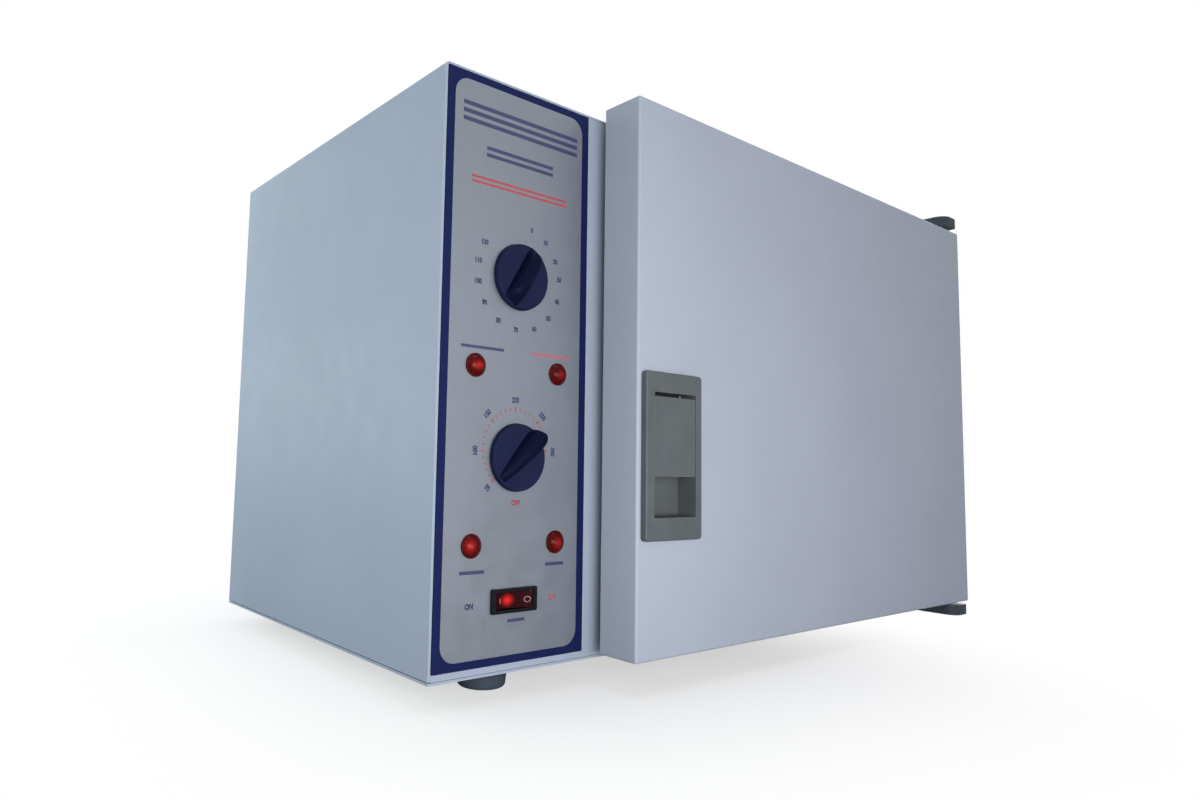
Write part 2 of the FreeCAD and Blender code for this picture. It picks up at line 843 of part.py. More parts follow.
def control_bores(height):
    """The blind bore for a shaft and the two screw holes beside it."""
    bores = [rod(shaft_radius + running_gap, (control_middle, 0, height),
                 (control_middle, panel_sheet + shaft_in_body, height))]
    for x in around(control_middle, control_screw_spread):
        bores.append(rod(screw_radius + running_gap, (x, 0, height), (x, panel_sheet + control_screw_length, height)))
    return bores


def control_screws():
    """Two screws under each knob."""
    return [screw((x, -overlay_sheet, height), along_y, control_screw_length + overlay_sheet,
                  screw_head_radius, control_screw_head)
            for height in (timer_height, thermostat_height)
            for x in around(control_middle, control_screw_spread)]


def dome(radius, rise, x, z):
    """A spherical cap standing on the rim of a lens."""
    ball_radius = (radius ** 2 + rise ** 2) / (2 * rise)
    foot = -overlay_sheet - lens_rim
    keep = slab(around(x, radius + overrun), (foot - rise - overrun, foot), around(z, radius + overrun))
    return Part.makeSphere(ball_radius, local(x, foot - rise + ball_radius, z)).common(keep)


def lamp_lens(x, z):
    """A hollow dome on a flat rim, with a neck that passes through the panel."""
    rim = rod(lens_radius, (x, -overlay_sheet - lens_rim, z), (x, -overlay_sheet, z))
    neck = rod(lens_neck_radius, (x, -overlay_sheet, z), (x, panel_sheet + lens_neck, z))
    inside = rod(lens_neck_radius - lens_wall, (x, -overlay_sheet - lens_rim, z),
                 (x, panel_sheet + lens_neck + overrun, z))
    hollow = dome(lens_neck_radius - lens_wall, lens_dome - lens_wall, x, z)
    return joined([dome(lens_radius, lens_dome, x, z), rim, neck]).cut([inside, hollow])


def lamp_body(x, z):
    """The lamp's holder, whose nut lies on the back of the panel."""
    start = panel_sheet + lens_neck
    holder = rod(lamp_body_radius, (x, start, z), (x, start + lamp_body_length, z))
    nut = rod(lamp_nut_radius, (x, panel_sheet, z), (x, panel_sheet + lamp_nut, z))
    sleeve = rod(lamp_body_radius, (x, panel_sheet, z), (x, start, z))
    bore = rod(lens_neck_radius + running_gap, (x, 0, z), (x, start, z))
    bulb = rod(lens_neck_radius - lens_wall - seat_gap, (x, 0, z), (x, start + seat_gap, z))
    return joined([joined([holder, nut, sleeve]).cut(bore), bulb])


def switch_body():
    """The bezel and the open box behind it, with bearings for the rocker."""
    bezel = rounded(slab(around(control_middle, bezel_width / 2),
                         (-overlay_sheet - bezel_proud, -overlay_sheet),
                         around(switch_height, bezel_height / 2)), bezel_corner, along_y)
    body = slab(around(control_middle, switch_body_width / 2), (-overlay_sheet, switch_body_depth),
                around(switch_height, switch_body_height / 2))
    window = slab(around(control_middle, switch_window_width / 2),
                  (-overlay_sheet - bezel_proud - overrun, switch_body_depth - switch_floor),
                  around(switch_height, switch_window_height / 2))
    bearing = rod(trunnion_radius + running_gap,
                  (control_middle, rocker_pivot_depth,
                   switch_height - switch_window_height / 2 + rocker_side_gap - trunnion_length - seat_gap),
                  (control_middle, rocker_pivot_depth,
                   switch_height + switch_window_height / 2 - rocker_side_gap + trunnion_length + seat_gap))
    return joined([bezel, body]).cut([window, bearing])


def rocker():
    """The rocker at its left, pressed position: its face is a shallow valley, its keel reaches inwards."""
    rise = rocker_half_length * math.tan(math.radians(rocker_slope))
    half = switch_window_height / 2 - rocker_side_gap
    crest, low = -rocker_crest, switch_height - half
    keel = rocker_pivot_depth + rocker_keel
    middle = control_middle
    profile = [(middle - rocker_half_length, crest - rise, low), (middle, crest, low),
               (middle + rocker_half_length, crest - rise, low),
               (middle + rocker_half_length, rocker_belly, low), (middle + rocker_keel_half, keel, low),
               (middle - rocker_keel_half, keel, low), (middle - rocker_half_length, rocker_belly, low)]
    body = extruded(profile, along_z * (2 * half))
    trunnion = rod(trunnion_radius, (middle, rocker_pivot_depth, low - trunnion_length),
                   (middle, rocker_pivot_depth, switch_height + half + trunnion_length))
    shape = joined([body, trunnion])
    shape.rotate(local(middle, rocker_pivot_depth, switch_height), along_z, -rocker_slope)
    return shape


def switch_terminals():
    start = switch_body_depth
    return [slab(around(control_middle + number * spade_pitch, spade_sheet / 2), (start, start + spade_length),
                 around(switch_height, spade_width / 2)) for number in (-1, 0, 1)]


def terminal_block():
    """A screw terminal block on the partition's left face."""
    x = (control_bay - block_width, control_bay)
    z = (block_rise, block_rise + block_height)
    block = slab(x, (block_setback, block_setback + block_length), z)
    pitch = block_length / block_ways
    middle = x[0] + block_width / 2
    places = [block_setback + pitch / 2 + way * pitch for way in range(block_ways)]
    wells = [rod(block_screw_radius, (middle, y, z[1]), (middle, y, z[1] - block_height / 3)) for y in places]
    return block.cut(wells)


def power_inlet():
    """An appliance inlet: flange outside the rear panel, socket body inside it."""
    x, z = control_middle, inlet_height
    flange = rounded(slab(around(x, inlet_flange_width / 2), (case_depth, case_depth + inlet_proud),
                          around(z, inlet_flange_height / 2)), inlet_corner, along_y)
    body = slab(around(x, inlet_body_width / 2), (case_depth - inlet_body_depth, case_depth),
                around(z, inlet_body_height / 2))
    mouth = slab(around(x, inlet_body_width / 2 - inlet_wall),
                 (case_depth + inlet_proud - inlet_depth, case_depth + inlet_proud + overrun),
                 around(z, inlet_body_height / 2 - inlet_wall))
    ways = [rod(screw_radius + running_gap, (side, case_depth - overrun, z),
                (side, case_depth + inlet_proud + overrun, z)) for side in around(x, inlet_screw_spread)]
    sinks = [rod(screw_head_radius + running_gap, (side, case_depth + inlet_proud - control_screw_head, z),
                 (side, case_depth + inlet_proud + overrun, z)) for side in around(x, inlet_screw_spread)]
    return joined([flange, body]).cut([mouth] + ways + sinks)


def inlet_screws():
    return [screw((side, case_depth + inlet_proud - control_screw_head, inlet_height), along_y * -1,
                  screw_length, screw_head_radius, control_screw_head)
            for side in around(control_middle, inlet_screw_spread)]


def inlet_pins():
    floor = case_depth + inlet_proud - inlet_depth
    places = [(-inlet_pin_spread, -inlet_pin_rise), (0, inlet_pin_rise), (inlet_pin_spread, -inlet_pin_rise)]
    return [slab(around(control_middle + x, inlet_pin_thick / 2), (floor, floor + inlet_pin_length),
                 around(inlet_height + z, inlet_pin_width / 2)) for x, z in places]


def door_shell():
    """The door's painted pan: a front and four sides, open towards the case."""
    x, z = (door_left, door_right), (door_low, door_top)
    pan = rounded(slab(x, (door_front, -door_gap), z), door_corner, along_y)
    front = edges_of_face(pan, local(0, door_front, 0), along_y)
    pan = pan.makeFillet(door_edge, front)
    hollow = slab(grown(x, -door_sheet), (door_front + door_sheet, -door_gap + overrun), grown(z, -door_sheet))
    window = slab(grown((cup_x, cup_x + cup_width), cup_wall + seat_gap),
                  (door_front - overrun, door_front + door_sheet + overrun),
                  grown((cup_z, cup_top), cup_wall + seat_gap))
    bores = [rod(pin_radius + running_gap + bush_wall, (pin_x, pin_y, edge - overrun), (pin_x, pin_y, edge + overrun))
             for edge in z]
    return pan.cut([hollow, window] + bores)


def edges_of_face(shape, point, axis):
    """All edges that lie in the plane through a point, square to an axis."""
    return [edge for edge in shape.Edges
            if all(abs((vertex.Point - point).dot(axis)) < straight for vertex in edge.Vertexes)]


def door_liner():
    """The bright inner pan that closes the door's back."""
    gap = door_sheet + sheet_gap
    x, z = grown((door_left, door_right), -gap), grown((door_low, door_top), -gap)
    plate = slab(x, (-door_gap - door_liner_sheet, -door_gap), z)
    rim = slab(x, (-door_gap - door_liner_rim, -door_gap), z).cut(
        slab(grown(x, -door_liner_sheet), (-door_gap - door_liner_rim - overrun, overrun),
             grown(z, -door_liner_sheet)))
    blocks = [slab(grown(hinge_block_x(), sheet_gap), (-door_gap - door_liner_rim - overrun,
                                                         -door_gap - door_liner_sheet), grown(span, overrun))
              for span in hinge_block_heights()]
    slot = slab(around(hook_x, hook_slot_width / 2), (-door_gap - overrun, -door_gap + overrun),
                (pivot_z - hook_slot_below, pivot_z + hook_slot_above))
    return joined([plate, rim.cut(blocks)]).cut(slot)


def hinge_block_x():
    right = door_right - door_sheet
    return (right - hinge_block_width, right)


def hinge_block_heights():
    low = door_low + door_sheet
    top = door_top - door_sheet
    return [(low, low + hinge_block_height), (top - hinge_block_height, top)]


def hinge_block(span):
    """A steel block in the door's corner, which holds the hinge bush."""
    y = (door_front + door_sheet, -door_gap - door_liner_sheet)
    block = slab(hinge_block_x(), y, span)
    bore = rod(pin_radius + running_gap + bush_wall, (pin_x, pin_y, span[0] - overrun),
               (pin_x, pin_y, span[1] + overrun))
    return block.cut(bore)


def hinge_bush(edge, outward):
    """A collared bush pressed into the door's edge; outward is 1 at the top and -1 at the bottom."""
    face = edge + outward * bush_collar_thick
    sleeve = rod(pin_radius + running_gap + bush_wall, (pin_x, pin_y, edge), (pin_x, pin_y, edge - outward * bush_length))
    collar = rod(pin_radius + running_gap + bush_collar, (pin_x, pin_y, edge), (pin_x, pin_y, face))
    bore = rod(pin_radius + running_gap, (pin_x, pin_y, face + outward * overrun),
               (pin_x, pin_y, edge - outward * (bush_length + overrun)))
    return joined([sleeve, collar]).cut(bore)


def bracket_y():
    return (door_front + bracket_setback, 0)


def arm_corner(arm, right_side):
    """The upright front edge of a hinge arm, left or right of the pin."""
    return [edge for edge in edges_of_face(arm, local(0, bracket_y()[0], 0), along_y)
            if runs_along(edge, along_z)
            and (edge.Vertexes[0].Point.x > local(pin_x, 0, 0).x) == right_side]


def hinge_bracket(edge, outward):
    """An arm over or under the door, on a leg that is screwed to the case's front."""
    gap = bracket_gap_top if outward > 0 else bracket_gap_low
    near = edge + outward * gap
    right = door_right + bracket_overhang
    x = (right - bracket_width, right)
    arm = slab(x, bracket_y(), sorted((near, near + outward * bracket_thick)))
    arm = arm.makeFillet(bracket_big_round, arm_corner(arm, False))
    arm = arm.makeFillet(bracket_small_round, arm_corner(arm, True))
    leg = slab(x, (-bracket_leg_sheet, 0), sorted((near, near - outward * bracket_leg)))
    bore = rod(pin_radius, (pin_x, pin_y, near - outward * overrun),
               (pin_x, pin_y, near + outward * (bracket_thick + overrun)))
    holes = [bore]
    for sx, sz in bracket_screw_places():
        if abs(sz - near) < bracket_leg:
            holes.append(rod(screw_radius + running_gap, (sx, -bracket_leg_sheet - overrun, sz), (sx, overrun, sz)))
            holes.append(rod(screw_head_radius + running_gap, (sx, -bracket_leg_sheet - overrun, sz),
                             (sx, -bracket_leg_sheet + bracket_screw_head, sz)))
    return joined([arm, leg]).cut(holes)


def bracket_screws():
    return [screw((x, -bracket_leg_sheet + bracket_screw_head, z), along_y, bracket_screw_length,
                  screw_head_radius, bracket_screw_head) for x, z in bracket_screw_places()]


def hinge_pin(edge, outward):
    gap = bracket_gap_top if outward > 0 else bracket_gap_low
    return rod(pin_radius, (pin_x, pin_y, edge - outward * pin_in_door),
               (pin_x, pin_y, edge + outward * (gap + bracket_thick)))


def door_insulation():
    """Mineral wool between the door's pans, left clear round the latch."""
    x = (door_left + door_sheet + sheet_gap + door_liner_sheet + door_wool_gap,
         hinge_block_x()[0] - door_wool_gap)
    z = grown((door_low, door_top), -door_sheet - sheet_gap - door_liner_sheet - door_wool_gap)
    wool = slab(x, (door_front + door_sheet + seat_gap, -door_gap - door_liner_sheet - seat_gap), z)
    pocket = slab(grown((cup_x, cup_x + cup_width), cup_wall + door_wool_gap),
                  (door_front - overrun, 0), grown((cup_z, cup_top), cup_wall + door_wool_gap))
    return wool.cut(pocket)


def door_gasket():
    """A heat-proof seal round the chamber's opening, on the door's back."""
    inner_x = grown((chamber_left, chamber_right), gasket_reveal)
    inner_z = grown((chamber_floor, chamber_roof), gasket_reveal)
    y = (-door_gap, -seat_gap)
    ring = rounded(slab(grown(inner_x, gasket_width), y, grown(inner_z, gasket_width)),
                   gasket_corner + gasket_width, along_y)
    hole = rounded(slab(inner_x, grown(y, overrun), inner_z), gasket_corner, along_y)
    ring = ring.cut(hole)
    return ring.makeFillet(gasket_round, edges_of_face(ring, local(0, -seat_gap, 0), along_y))


def latch_housing():
    """A raised frame on the door with a cup behind it for the paddle and the fingers."""
    frame = rounded(slab((latch_left, latch_left + latch_width), (door_front - latch_proud, door_front),
                         (latch_low, latch_low + latch_height)), latch_corner, along_y)
    frame = frame.makeFillet(latch_edge, edges_of_face(frame, local(0, door_front - latch_proud, 0), along_y))
    inner = ((cup_x, cup_x + cup_width), (cup_z, cup_top))
    cup = slab(grown(inner[0], cup_wall), (door_front, cup_back), grown(inner[1], cup_wall))
    hollow = slab(inner[0], (door_front - latch_proud - overrun, cup_back - cup_wall), inner[1])
    slot = slab(around(hook_x, hook_slot_width / 2), (cup_back - cup_wall - overrun, cup_back + overrun),
                (pivot_z - cup_slot_below, pivot_z + cup_slot_above))
    pin = rod(latch_pin_radius, (cup_x - cup_wall, pivot_y, pivot_z),
              (cup_x + cup_width + cup_wall, pivot_y, pivot_z))
    return joined([frame, cup]).cut([hollow, slot, pin])


def paddle_front():
    return door_front - latch_proud + paddle_set_in


def latch_paddle():
    """The plate that the fingers pull, with a boss for its pivot pin and a lip at its lower edge."""
    x = grown((cup_x, cup_x + cup_width), -paddle_side_gap)
    top = cup_top - paddle_top_gap
    front = paddle_front()
    plate = slab(x, (front, front + paddle_thick), (top - paddle_length, top))
    lip = slab(x, (front, front + paddle_lip), (top - paddle_length, top - paddle_length + paddle_thick))
    boss = rod(paddle_boss_radius, (x[0], pivot_y, pivot_z), (x[1], pivot_y, pivot_z))
    shape = joined([plate, lip, boss])
    spring = slab(spring_span(), (pivot_y - spring_outer() - seat_gap, pivot_y + paddle_thick),
                  around(pivot_z, spring_leg + paddle_boss_radius))
    hook = slab(around(hook_x, hook_sheet / 2), (pivot_y - paddle_boss_radius, pivot_y + paddle_thick),
                around(pivot_z, paddle_boss_radius + seat_gap))
    bore = rod(latch_pin_radius + running_gap, (x[0] - overrun, pivot_y, pivot_z), (x[1] + overrun, pivot_y, pivot_z))
    return shape.cut([spring, hook, bore])


def spring_outer():
    return latch_pin_radius + running_gap + 2 * spring_wire + seat_gap


def spring_span():
    """The stretch of the pivot pin that the spring's coil takes, right of the hook."""
    start = hook_x + hook_sheet / 2 + spring_side_gap
    return (start, start + spring_turns * spring_pitch + 2 * spring_wire + 2 * seat_gap)


def latch_pin():
    return rod(latch_pin_radius, (cup_x - cup_wall, pivot_y, pivot_z), (cup_x + cup_width + cup_wall, pivot_y, pivot_z))


def latch_hook():
    """A steel hook on the pivot, which reaches back through the case's front and catches upwards."""
    half = hook_height / 2
    left = hook_x - hook_sheet / 2
    outline = [(pivot_y, pivot_z - half), (hook_reach, pivot_z - half), (hook_reach, pivot_z + half),
               (hook_reach - hook_nose_length / 2, pivot_z + half + hook_nose),
               (hook_reach - hook_nose_length, pivot_z + half + hook_nose),
               (hook_reach - hook_nose_length, pivot_z + half), (pivot_y, pivot_z + half)]
    arm = extruded([(left, y, z) for y, z in outline], along_x * hook_sheet)
    eye = rod(paddle_boss_radius, (left, pivot_y, pivot_z), (left + hook_sheet, pivot_y, pivot_z))
    bore = rod(latch_pin_radius + running_gap, (left - overrun, pivot_y, pivot_z),
               (left + hook_sheet + overrun, pivot_y, pivot_z))
    return joined([arm, eye]).cut(bore)


def latch_spring():
    """A torsion spring: a coil round the pivot pin with a leg down the paddle and a leg to the cup's roof."""
    radius = latch_pin_radius + running_gap + seat_gap + spring_wire
    start = spring_span()[0] + seat_gap + spring_wire
    steps = 4 * spring_turns
    points = []
    for step in range(2 * steps + 1):
        angle = math.pi * step / 4
        points.append(local(start + spring_pitch * step / 8, pivot_y + radius * math.cos(angle),
                            pivot_z + radius * math.sin(angle)))
    arcs = [Part.Arc(*points[number:number + 3]).toShape() for number in range(0, 2 * steps, 2)]
    path = Part.Wire(arcs)
    ring = Part.Wire(Part.Circle(points[0], points[1] - points[0], spring_wire).toShape())
    coil = path.makePipeShell([ring], True, False)
    end = start + spring_pitch * spring_turns
    y = pivot_y + radius
    down = rod(spring_wire, (start, y, pivot_z + spring_wire), (start, y, pivot_z - spring_leg))
    up = rod(spring_wire, (end, y, pivot_z - spring_wire), (end, y, cup_top - seat_gap))
    return joined([coil, down, up])


def strike_clip():
    """A spring leaf behind the front panel, whose lower end stands in front of the hook's nose."""
    x = around(hook_x, strike_width / 2)
    top = pivot_z + hook_slot_above + strike_foot
    leaf_low = pivot_z + hook_height / 2 + hook_nose - strike_bite
    foot = slab(x, (panel_sheet, panel_sheet + strike_sheet), (pivot_z + hook_slot_above, top))
    leaf = slab(grown(x, -strike_knee), (panel_sheet, panel_sheet + strike_sheet),
                (leaf_low, pivot_z + hook_slot_above))
    curl = slab(grown(x, -strike_knee), (panel_sheet, panel_sheet + strike_knee), (leaf_low - strike_sheet, leaf_low))
    return joined([foot, leaf, curl])


def save(name, shape):
    if isinstance(shape, list):
        shape = shape[0] if len(shape) == 1 else Part.makeCompound(shape)
    shape.exportStep(f"parts/{name}.step")


def main():
    os.makedirs("parts", exist_ok=True)
    nodes = {
        "outer_cover": outer_cover(), "base_tray": base_tray(), "front_panel": front_panel(),
        "rear_panel": rear_panel(), "partition": partition(), "control_overlay": control_overlay(),
        "rear_panel_screws": rear_screws(), "foot_screws": foot_screws(),
        "chamber_liner": chamber_liner(), "chamber_insulation": chamber_insulation(),
        "shelf_lower": shelf(runner_heights()[0]), "shelf_upper": shelf(runner_heights()[1]),
        "sensing_bulb": sensing_bulb(), "bulb_clips": bulb_clips(), "capillary_tube": capillary(),
        "timer_body": timer_body(), "timer_shaft": control_shaft(timer_height, timer_turn),
        "timer_knob": knob(timer_height, timer_turn, [grip(timer_height, timer_grip_shares)]),
        "thermostat_body": thermostat_body(),
        "thermostat_shaft": control_shaft(thermostat_height, thermostat_turn),
        "thermostat_knob": knob(thermostat_height, thermostat_turn,
                                [grip(thermostat_height, thermostat_grip_shares),
                                 grip_head(thermostat_height)]),
        "control_screws": control_screws(), "switch_body": switch_body(), "switch_rocker": rocker(),
        "switch_terminals": switch_terminals(), "terminal_block": terminal_block(),
        "power_inlet": power_inlet(), "inlet_pins": inlet_pins(), "inlet_screws": inlet_screws(),
        "door_shell": door_shell(), "door_liner": door_liner(), "door_insulation": door_insulation(),
        "door_gasket": door_gasket(), "hinge_screws": bracket_screws(),
        "latch_housing": latch_housing(), "latch_paddle": latch_paddle(), "latch_pin": latch_pin(),
        "latch_hook": latch_hook(), "latch_spring": latch_spring(), "strike_clip": strike_clip(),
    }
    for name, place in zip(("foot_front_left", "foot_front_right", "foot_rear_left", "foot_rear_right"),
                           foot_places()):
        nodes[name] = foot(place)
    for side, places in runner_places().items():
        nodes[f"shelf_runners_{side}"] = [shelf_runner(*place) for place in places]
    for level, z in heater_heights().items():
        nodes[f"heating_element_{level}"] = heater(z)
    nodes["heater_rails"] = heater_rails()
    nodes["heater_insulators"] = heater_insulators()
    lamp_names = ("upper_left", "upper_right", "lower_left", "lower_right")
    for name, (x, z) in zip(lamp_names, lamp_places()):
        nodes[f"lamp_lens_{name}"] = lamp_lens(x, z)
    nodes["lamp_holders"] = [lamp_body(x, z) for x, z in lamp_places()]
    hinges = ((door_low, -1), (door_top, 1))
    for name, (edge, outward) in zip(("lower", "upper"), hinges):
        nodes[f"hinge_bracket_{name}"] = hinge_bracket(edge, outward)
    nodes["hinge_pins"] = [hinge_pin(edge, outward) for edge, outward in hinges]
    nodes["hinge_bushes"] = [hinge_bush(edge, outward) for edge, outward in hinges]
    nodes["hinge_blocks"] = [hinge_block(span) for span in hinge_block_heights()]
    for name, shape in nodes.items():
        save(name, shape)
    print(len(nodes), "nodes")


main()
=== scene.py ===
import json
import math
import bpy
import bmesh
from mathutils import Matrix, Vector
from mathutils.bvhtree import BVHTree


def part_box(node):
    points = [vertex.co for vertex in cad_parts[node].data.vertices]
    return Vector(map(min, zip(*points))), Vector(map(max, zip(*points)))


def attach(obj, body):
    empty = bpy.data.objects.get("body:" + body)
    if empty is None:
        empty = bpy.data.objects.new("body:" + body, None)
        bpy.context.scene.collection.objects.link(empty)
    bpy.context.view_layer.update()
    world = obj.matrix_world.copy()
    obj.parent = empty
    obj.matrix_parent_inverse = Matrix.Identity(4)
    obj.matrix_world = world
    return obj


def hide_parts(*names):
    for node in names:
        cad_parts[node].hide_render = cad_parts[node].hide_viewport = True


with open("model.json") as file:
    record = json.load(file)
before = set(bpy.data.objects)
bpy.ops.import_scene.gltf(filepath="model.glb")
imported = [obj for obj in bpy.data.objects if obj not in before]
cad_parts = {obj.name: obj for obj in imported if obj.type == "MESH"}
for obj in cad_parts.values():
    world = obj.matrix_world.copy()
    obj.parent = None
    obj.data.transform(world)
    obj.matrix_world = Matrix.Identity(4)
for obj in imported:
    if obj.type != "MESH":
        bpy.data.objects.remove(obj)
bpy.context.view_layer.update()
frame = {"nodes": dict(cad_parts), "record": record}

mm = 0.001
nodes = frame["nodes"]
scene = bpy.context.scene
print("frame loaded:", len(nodes), "nodes")


def middleOf(node):
    low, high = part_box(node)
    return (low + high) / 2


slotOf = {entry["node"]: entry["material_slot"] for entry in frame["record"]["subparts"]}
bodyOf = {node: body for body, members in frame["record"]["behaviour"]["bodies"].items() for node in members}
overlayLow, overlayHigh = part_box("control_overlay")
timerCentre = middleOf("timer_shaft")
thermostatCentre = middleOf("thermostat_shaft")
switchCentre = middleOf("switch_body")
overlayFace = overlayLow.y                # the printed side of the overlay, towards -Y

# The camera stands where the photograph was taken from
camera = {
    "place": (-0.53684, -0.49389, 0.13489),
    "right": (0.79565, -0.60522, 0.02541),
    "down": (0.07531, 0.05721, -0.99552),
    "lens": 24.062, "sensor": 36.0,
    "shiftX": 0.1010, "shiftY": -0.0086,
}


def addCamera(size):
    right = Vector(size["right"]).normalized()
    up = -Vector(size["down"]).normalized()
    back = right.cross(up)
    data = bpy.data.cameras.new("photoCamera")
    data.lens = size["lens"]
    data.sensor_width = size["sensor"]
    data.sensor_fit = "HORIZONTAL"
    data.shift_x = size["shiftX"]
    data.shift_y = size["shiftY"]
    data.clip_start = 0.01
    view = bpy.data.objects.new("photoCamera", data)
    turn = Matrix((right, up, back)).transposed().to_4x4()
    view.matrix_world = Matrix.Translation(size["place"]) @ turn
    scene.collection.objects.link(view)
    scene.camera = view


addCamera(camera)


# Materials: each recipe has its look beside it, in shares of the colour and the roughness it is given
def nodeTree(name):
    made = bpy.data.materials.new(name)
    made.use_nodes = True
    tree = made.node_tree
    return made, tree, tree.nodes["Principled BSDF"]


def objectCoords(tree, scale=(1, 1, 1), place=(0, 0, 0)):
    coords = tree.nodes.new("ShaderNodeTexCoord")
    mapping = tree.nodes.new("ShaderNodeMapping")
    mapping.inputs["Scale"].default_value = scale
    mapping.inputs["Location"].default_value = place
    tree.links.new(coords.outputs["Object"], mapping.inputs["Vector"])
    return mapping.outputs["Vector"]


def noise(tree, vector, scale, detail=3.0, rough=0.5):
    texture = tree.nodes.new("ShaderNodeTexNoise")
    texture.inputs["Scale"].default_value = scale
    texture.inputs["Detail"].default_value = detail
    texture.inputs["Roughness"].default_value = rough
    tree.links.new(vector, texture.inputs["Vector"])
    return texture.outputs["Fac"]


def remap(tree, value, low, high, fromLow=0.3, fromHigh=0.7):
    ranged = tree.nodes.new("ShaderNodeMapRange")
    ranged.inputs["From Min"].default_value = fromLow
    ranged.inputs["From Max"].default_value = fromHigh
    ranged.inputs["To Min"].default_value = low
    ranged.inputs["To Max"].default_value = high
    tree.links.new(value, ranged.inputs["Value"])
    return ranged.outputs["Result"]


def mixColours(tree, factor, first, second):
    mixed = tree.nodes.new("ShaderNodeMix")
    mixed.data_type = "RGBA"
    for socket, colour in (("A", first), ("B", second)):
        target = [entry for entry in mixed.inputs if entry.name == socket and entry.type == "RGBA"][0]
        if isinstance(colour, bpy.types.NodeSocket):
            tree.links.new(colour, target)
        else:
            target.default_value = (*colour, 1)
    tree.links.new(factor, mixed.inputs["Factor"])
    return [entry for entry in mixed.outputs if entry.type == "RGBA"][0]


def shade(colour, factor):
    return tuple(min(1, part * factor) for part in colour)


edgeLook = {"samples": 4, "turned": 0.80, "flat": 0.99}


def edgeMask(tree, radius):
    # bright where the surface turns within the radius, dark on flat parts
    bevel = tree.nodes.new("ShaderNodeBevel")
    bevel.samples = edgeLook["samples"]
    bevel.inputs["Radius"].default_value = radius
    geometry = tree.nodes.new("ShaderNodeNewGeometry")
    dot = tree.nodes.new("ShaderNodeVectorMath")
    dot.operation = "DOT_PRODUCT"
    tree.links.new(bevel.outputs["Normal"], dot.inputs[0])
    tree.links.new(geometry.outputs["Normal"], dot.inputs[1])
    return remap(tree, dot.outputs["Value"], 1, 0, edgeLook["turned"], edgeLook["flat"])


def bump(tree, shader, height, strength, distance):
    bumped = tree.nodes.new("ShaderNodeBump")
    bumped.inputs["Strength"].default_value = strength
    bumped.inputs["Distance"].default_value = distance
    tree.links.new(height, bumped.inputs["Height"])
    tree.links.new(bumped.outputs["Normal"], shader.inputs["Normal"])


def uneven(tree, shader, value, rough, spread):
    # roughness that wanders between two bounds about the given one
    tree.links.new(remap(tree, value, rough + spread[0], rough + spread[1]), shader.inputs["Roughness"])


paintLook = {
    "clouds": (9, 4), "dark": 0.965, "light": 1.03, "edge": 0.0009, "wipes": 60, "spread": (-0.05, 0.06),
    "peel": (1300, 2), "peelStrength": 0.16, "peelDepth": 0.00012, "shine": 0.08,
}


def paint(name, colour, rough, worn=1.18):
    # powder coat: fine orange peel, faint clouding, a lighter line along the edges
    look = paintLook
    made, tree, shader = nodeTree(name)
    vector = objectCoords(tree)
    clouds = remap(tree, noise(tree, vector, *look["clouds"]), 0, 1)
    base = mixColours(tree, clouds, shade(colour, look["dark"]), shade(colour, look["light"]))
    edge = edgeMask(tree, look["edge"])
    tree.links.new(mixColours(tree, edge, base, shade(colour, worn)), shader.inputs["Base Color"])
    uneven(tree, shader, noise(tree, vector, look["wipes"]), rough, look["spread"])
    bump(tree, shader, noise(tree, vector, *look["peel"]), look["peelStrength"], look["peelDepth"])
    shader.inputs["Specular IOR Level"].default_value = look["shine"]
    return made


metalLook = {
    "stretch": 0.012, "lineDetail": 2, "dark": 0.86, "light": 1.1, "stains": (22, 5), "stainShare": 0.35,
    "stainShade": 0.75, "spread": (-0.07, 0.1), "depthStrength": 0.12, "depth": 0.00006,
}


def brushed(name, colour, rough, along, pitch=2200):
    # drawn metal: fine lines along one axis
    look = metalLook
    made, tree, shader = nodeTree(name)
    scale = [1, 1, 1]
    scale[along] = look["stretch"]
    lines = noise(tree, objectCoords(tree, scale), pitch, look["lineDetail"])
    stains = noise(tree, objectCoords(tree), *look["stains"])
    base = mixColours(tree, remap(tree, lines, 0, 1), shade(colour, look["dark"]), shade(colour, look["light"]))
    stained = mixColours(tree, remap(tree, stains, 0, look["stainShare"]), base, shade(colour, look["stainShade"]))
    tree.links.new(stained, shader.inputs["Base Color"])
    uneven(tree, shader, lines, rough, look["spread"])
    shader.inputs["Metallic"].default_value = 1.0
    bump(tree, shader, lines, look["depthStrength"], look["depth"])
    return made


plasticLook = {
    "spots": (45, 5), "dark": 0.88, "light": 1.08, "edge": 0.0006, "wipes": 160, "spread": (-0.06, 0.08),
    "sparks": 3, "sparkDetail": 3, "depthStrength": 0.25,
}


def moulded(name, colour, rough, grain=700, depth=0.00008, worn=1.35, shine=0.5):
    # moulded plastic: fine spark-eroded grain, rubbed edges
    look = plasticLook
    made, tree, shader = nodeTree(name)
    vector = objectCoords(tree)
    spots = remap(tree, noise(tree, vector, *look["spots"]), 0, 1)
    base = mixColours(tree, spots, shade(colour, look["dark"]), shade(colour, look["light"]))
    rubbed = mixColours(tree, edgeMask(tree, look["edge"]), base, shade(colour, worn))
    tree.links.new(rubbed, shader.inputs["Base Color"])
    uneven(tree, shader, noise(tree, vector, look["wipes"]), rough, look["spread"])
    bump(tree, shader, noise(tree, vector, grain * look["sparks"], look["sparkDetail"]), look["depthStrength"], depth)
    shader.inputs["Specular IOR Level"].default_value = shine
    return made


inkLook = {"specks": (700, 3), "dark": 0.85, "light": 1.12, "wipes": 300, "rough": 0.42, "spread": (0, 0.14)}


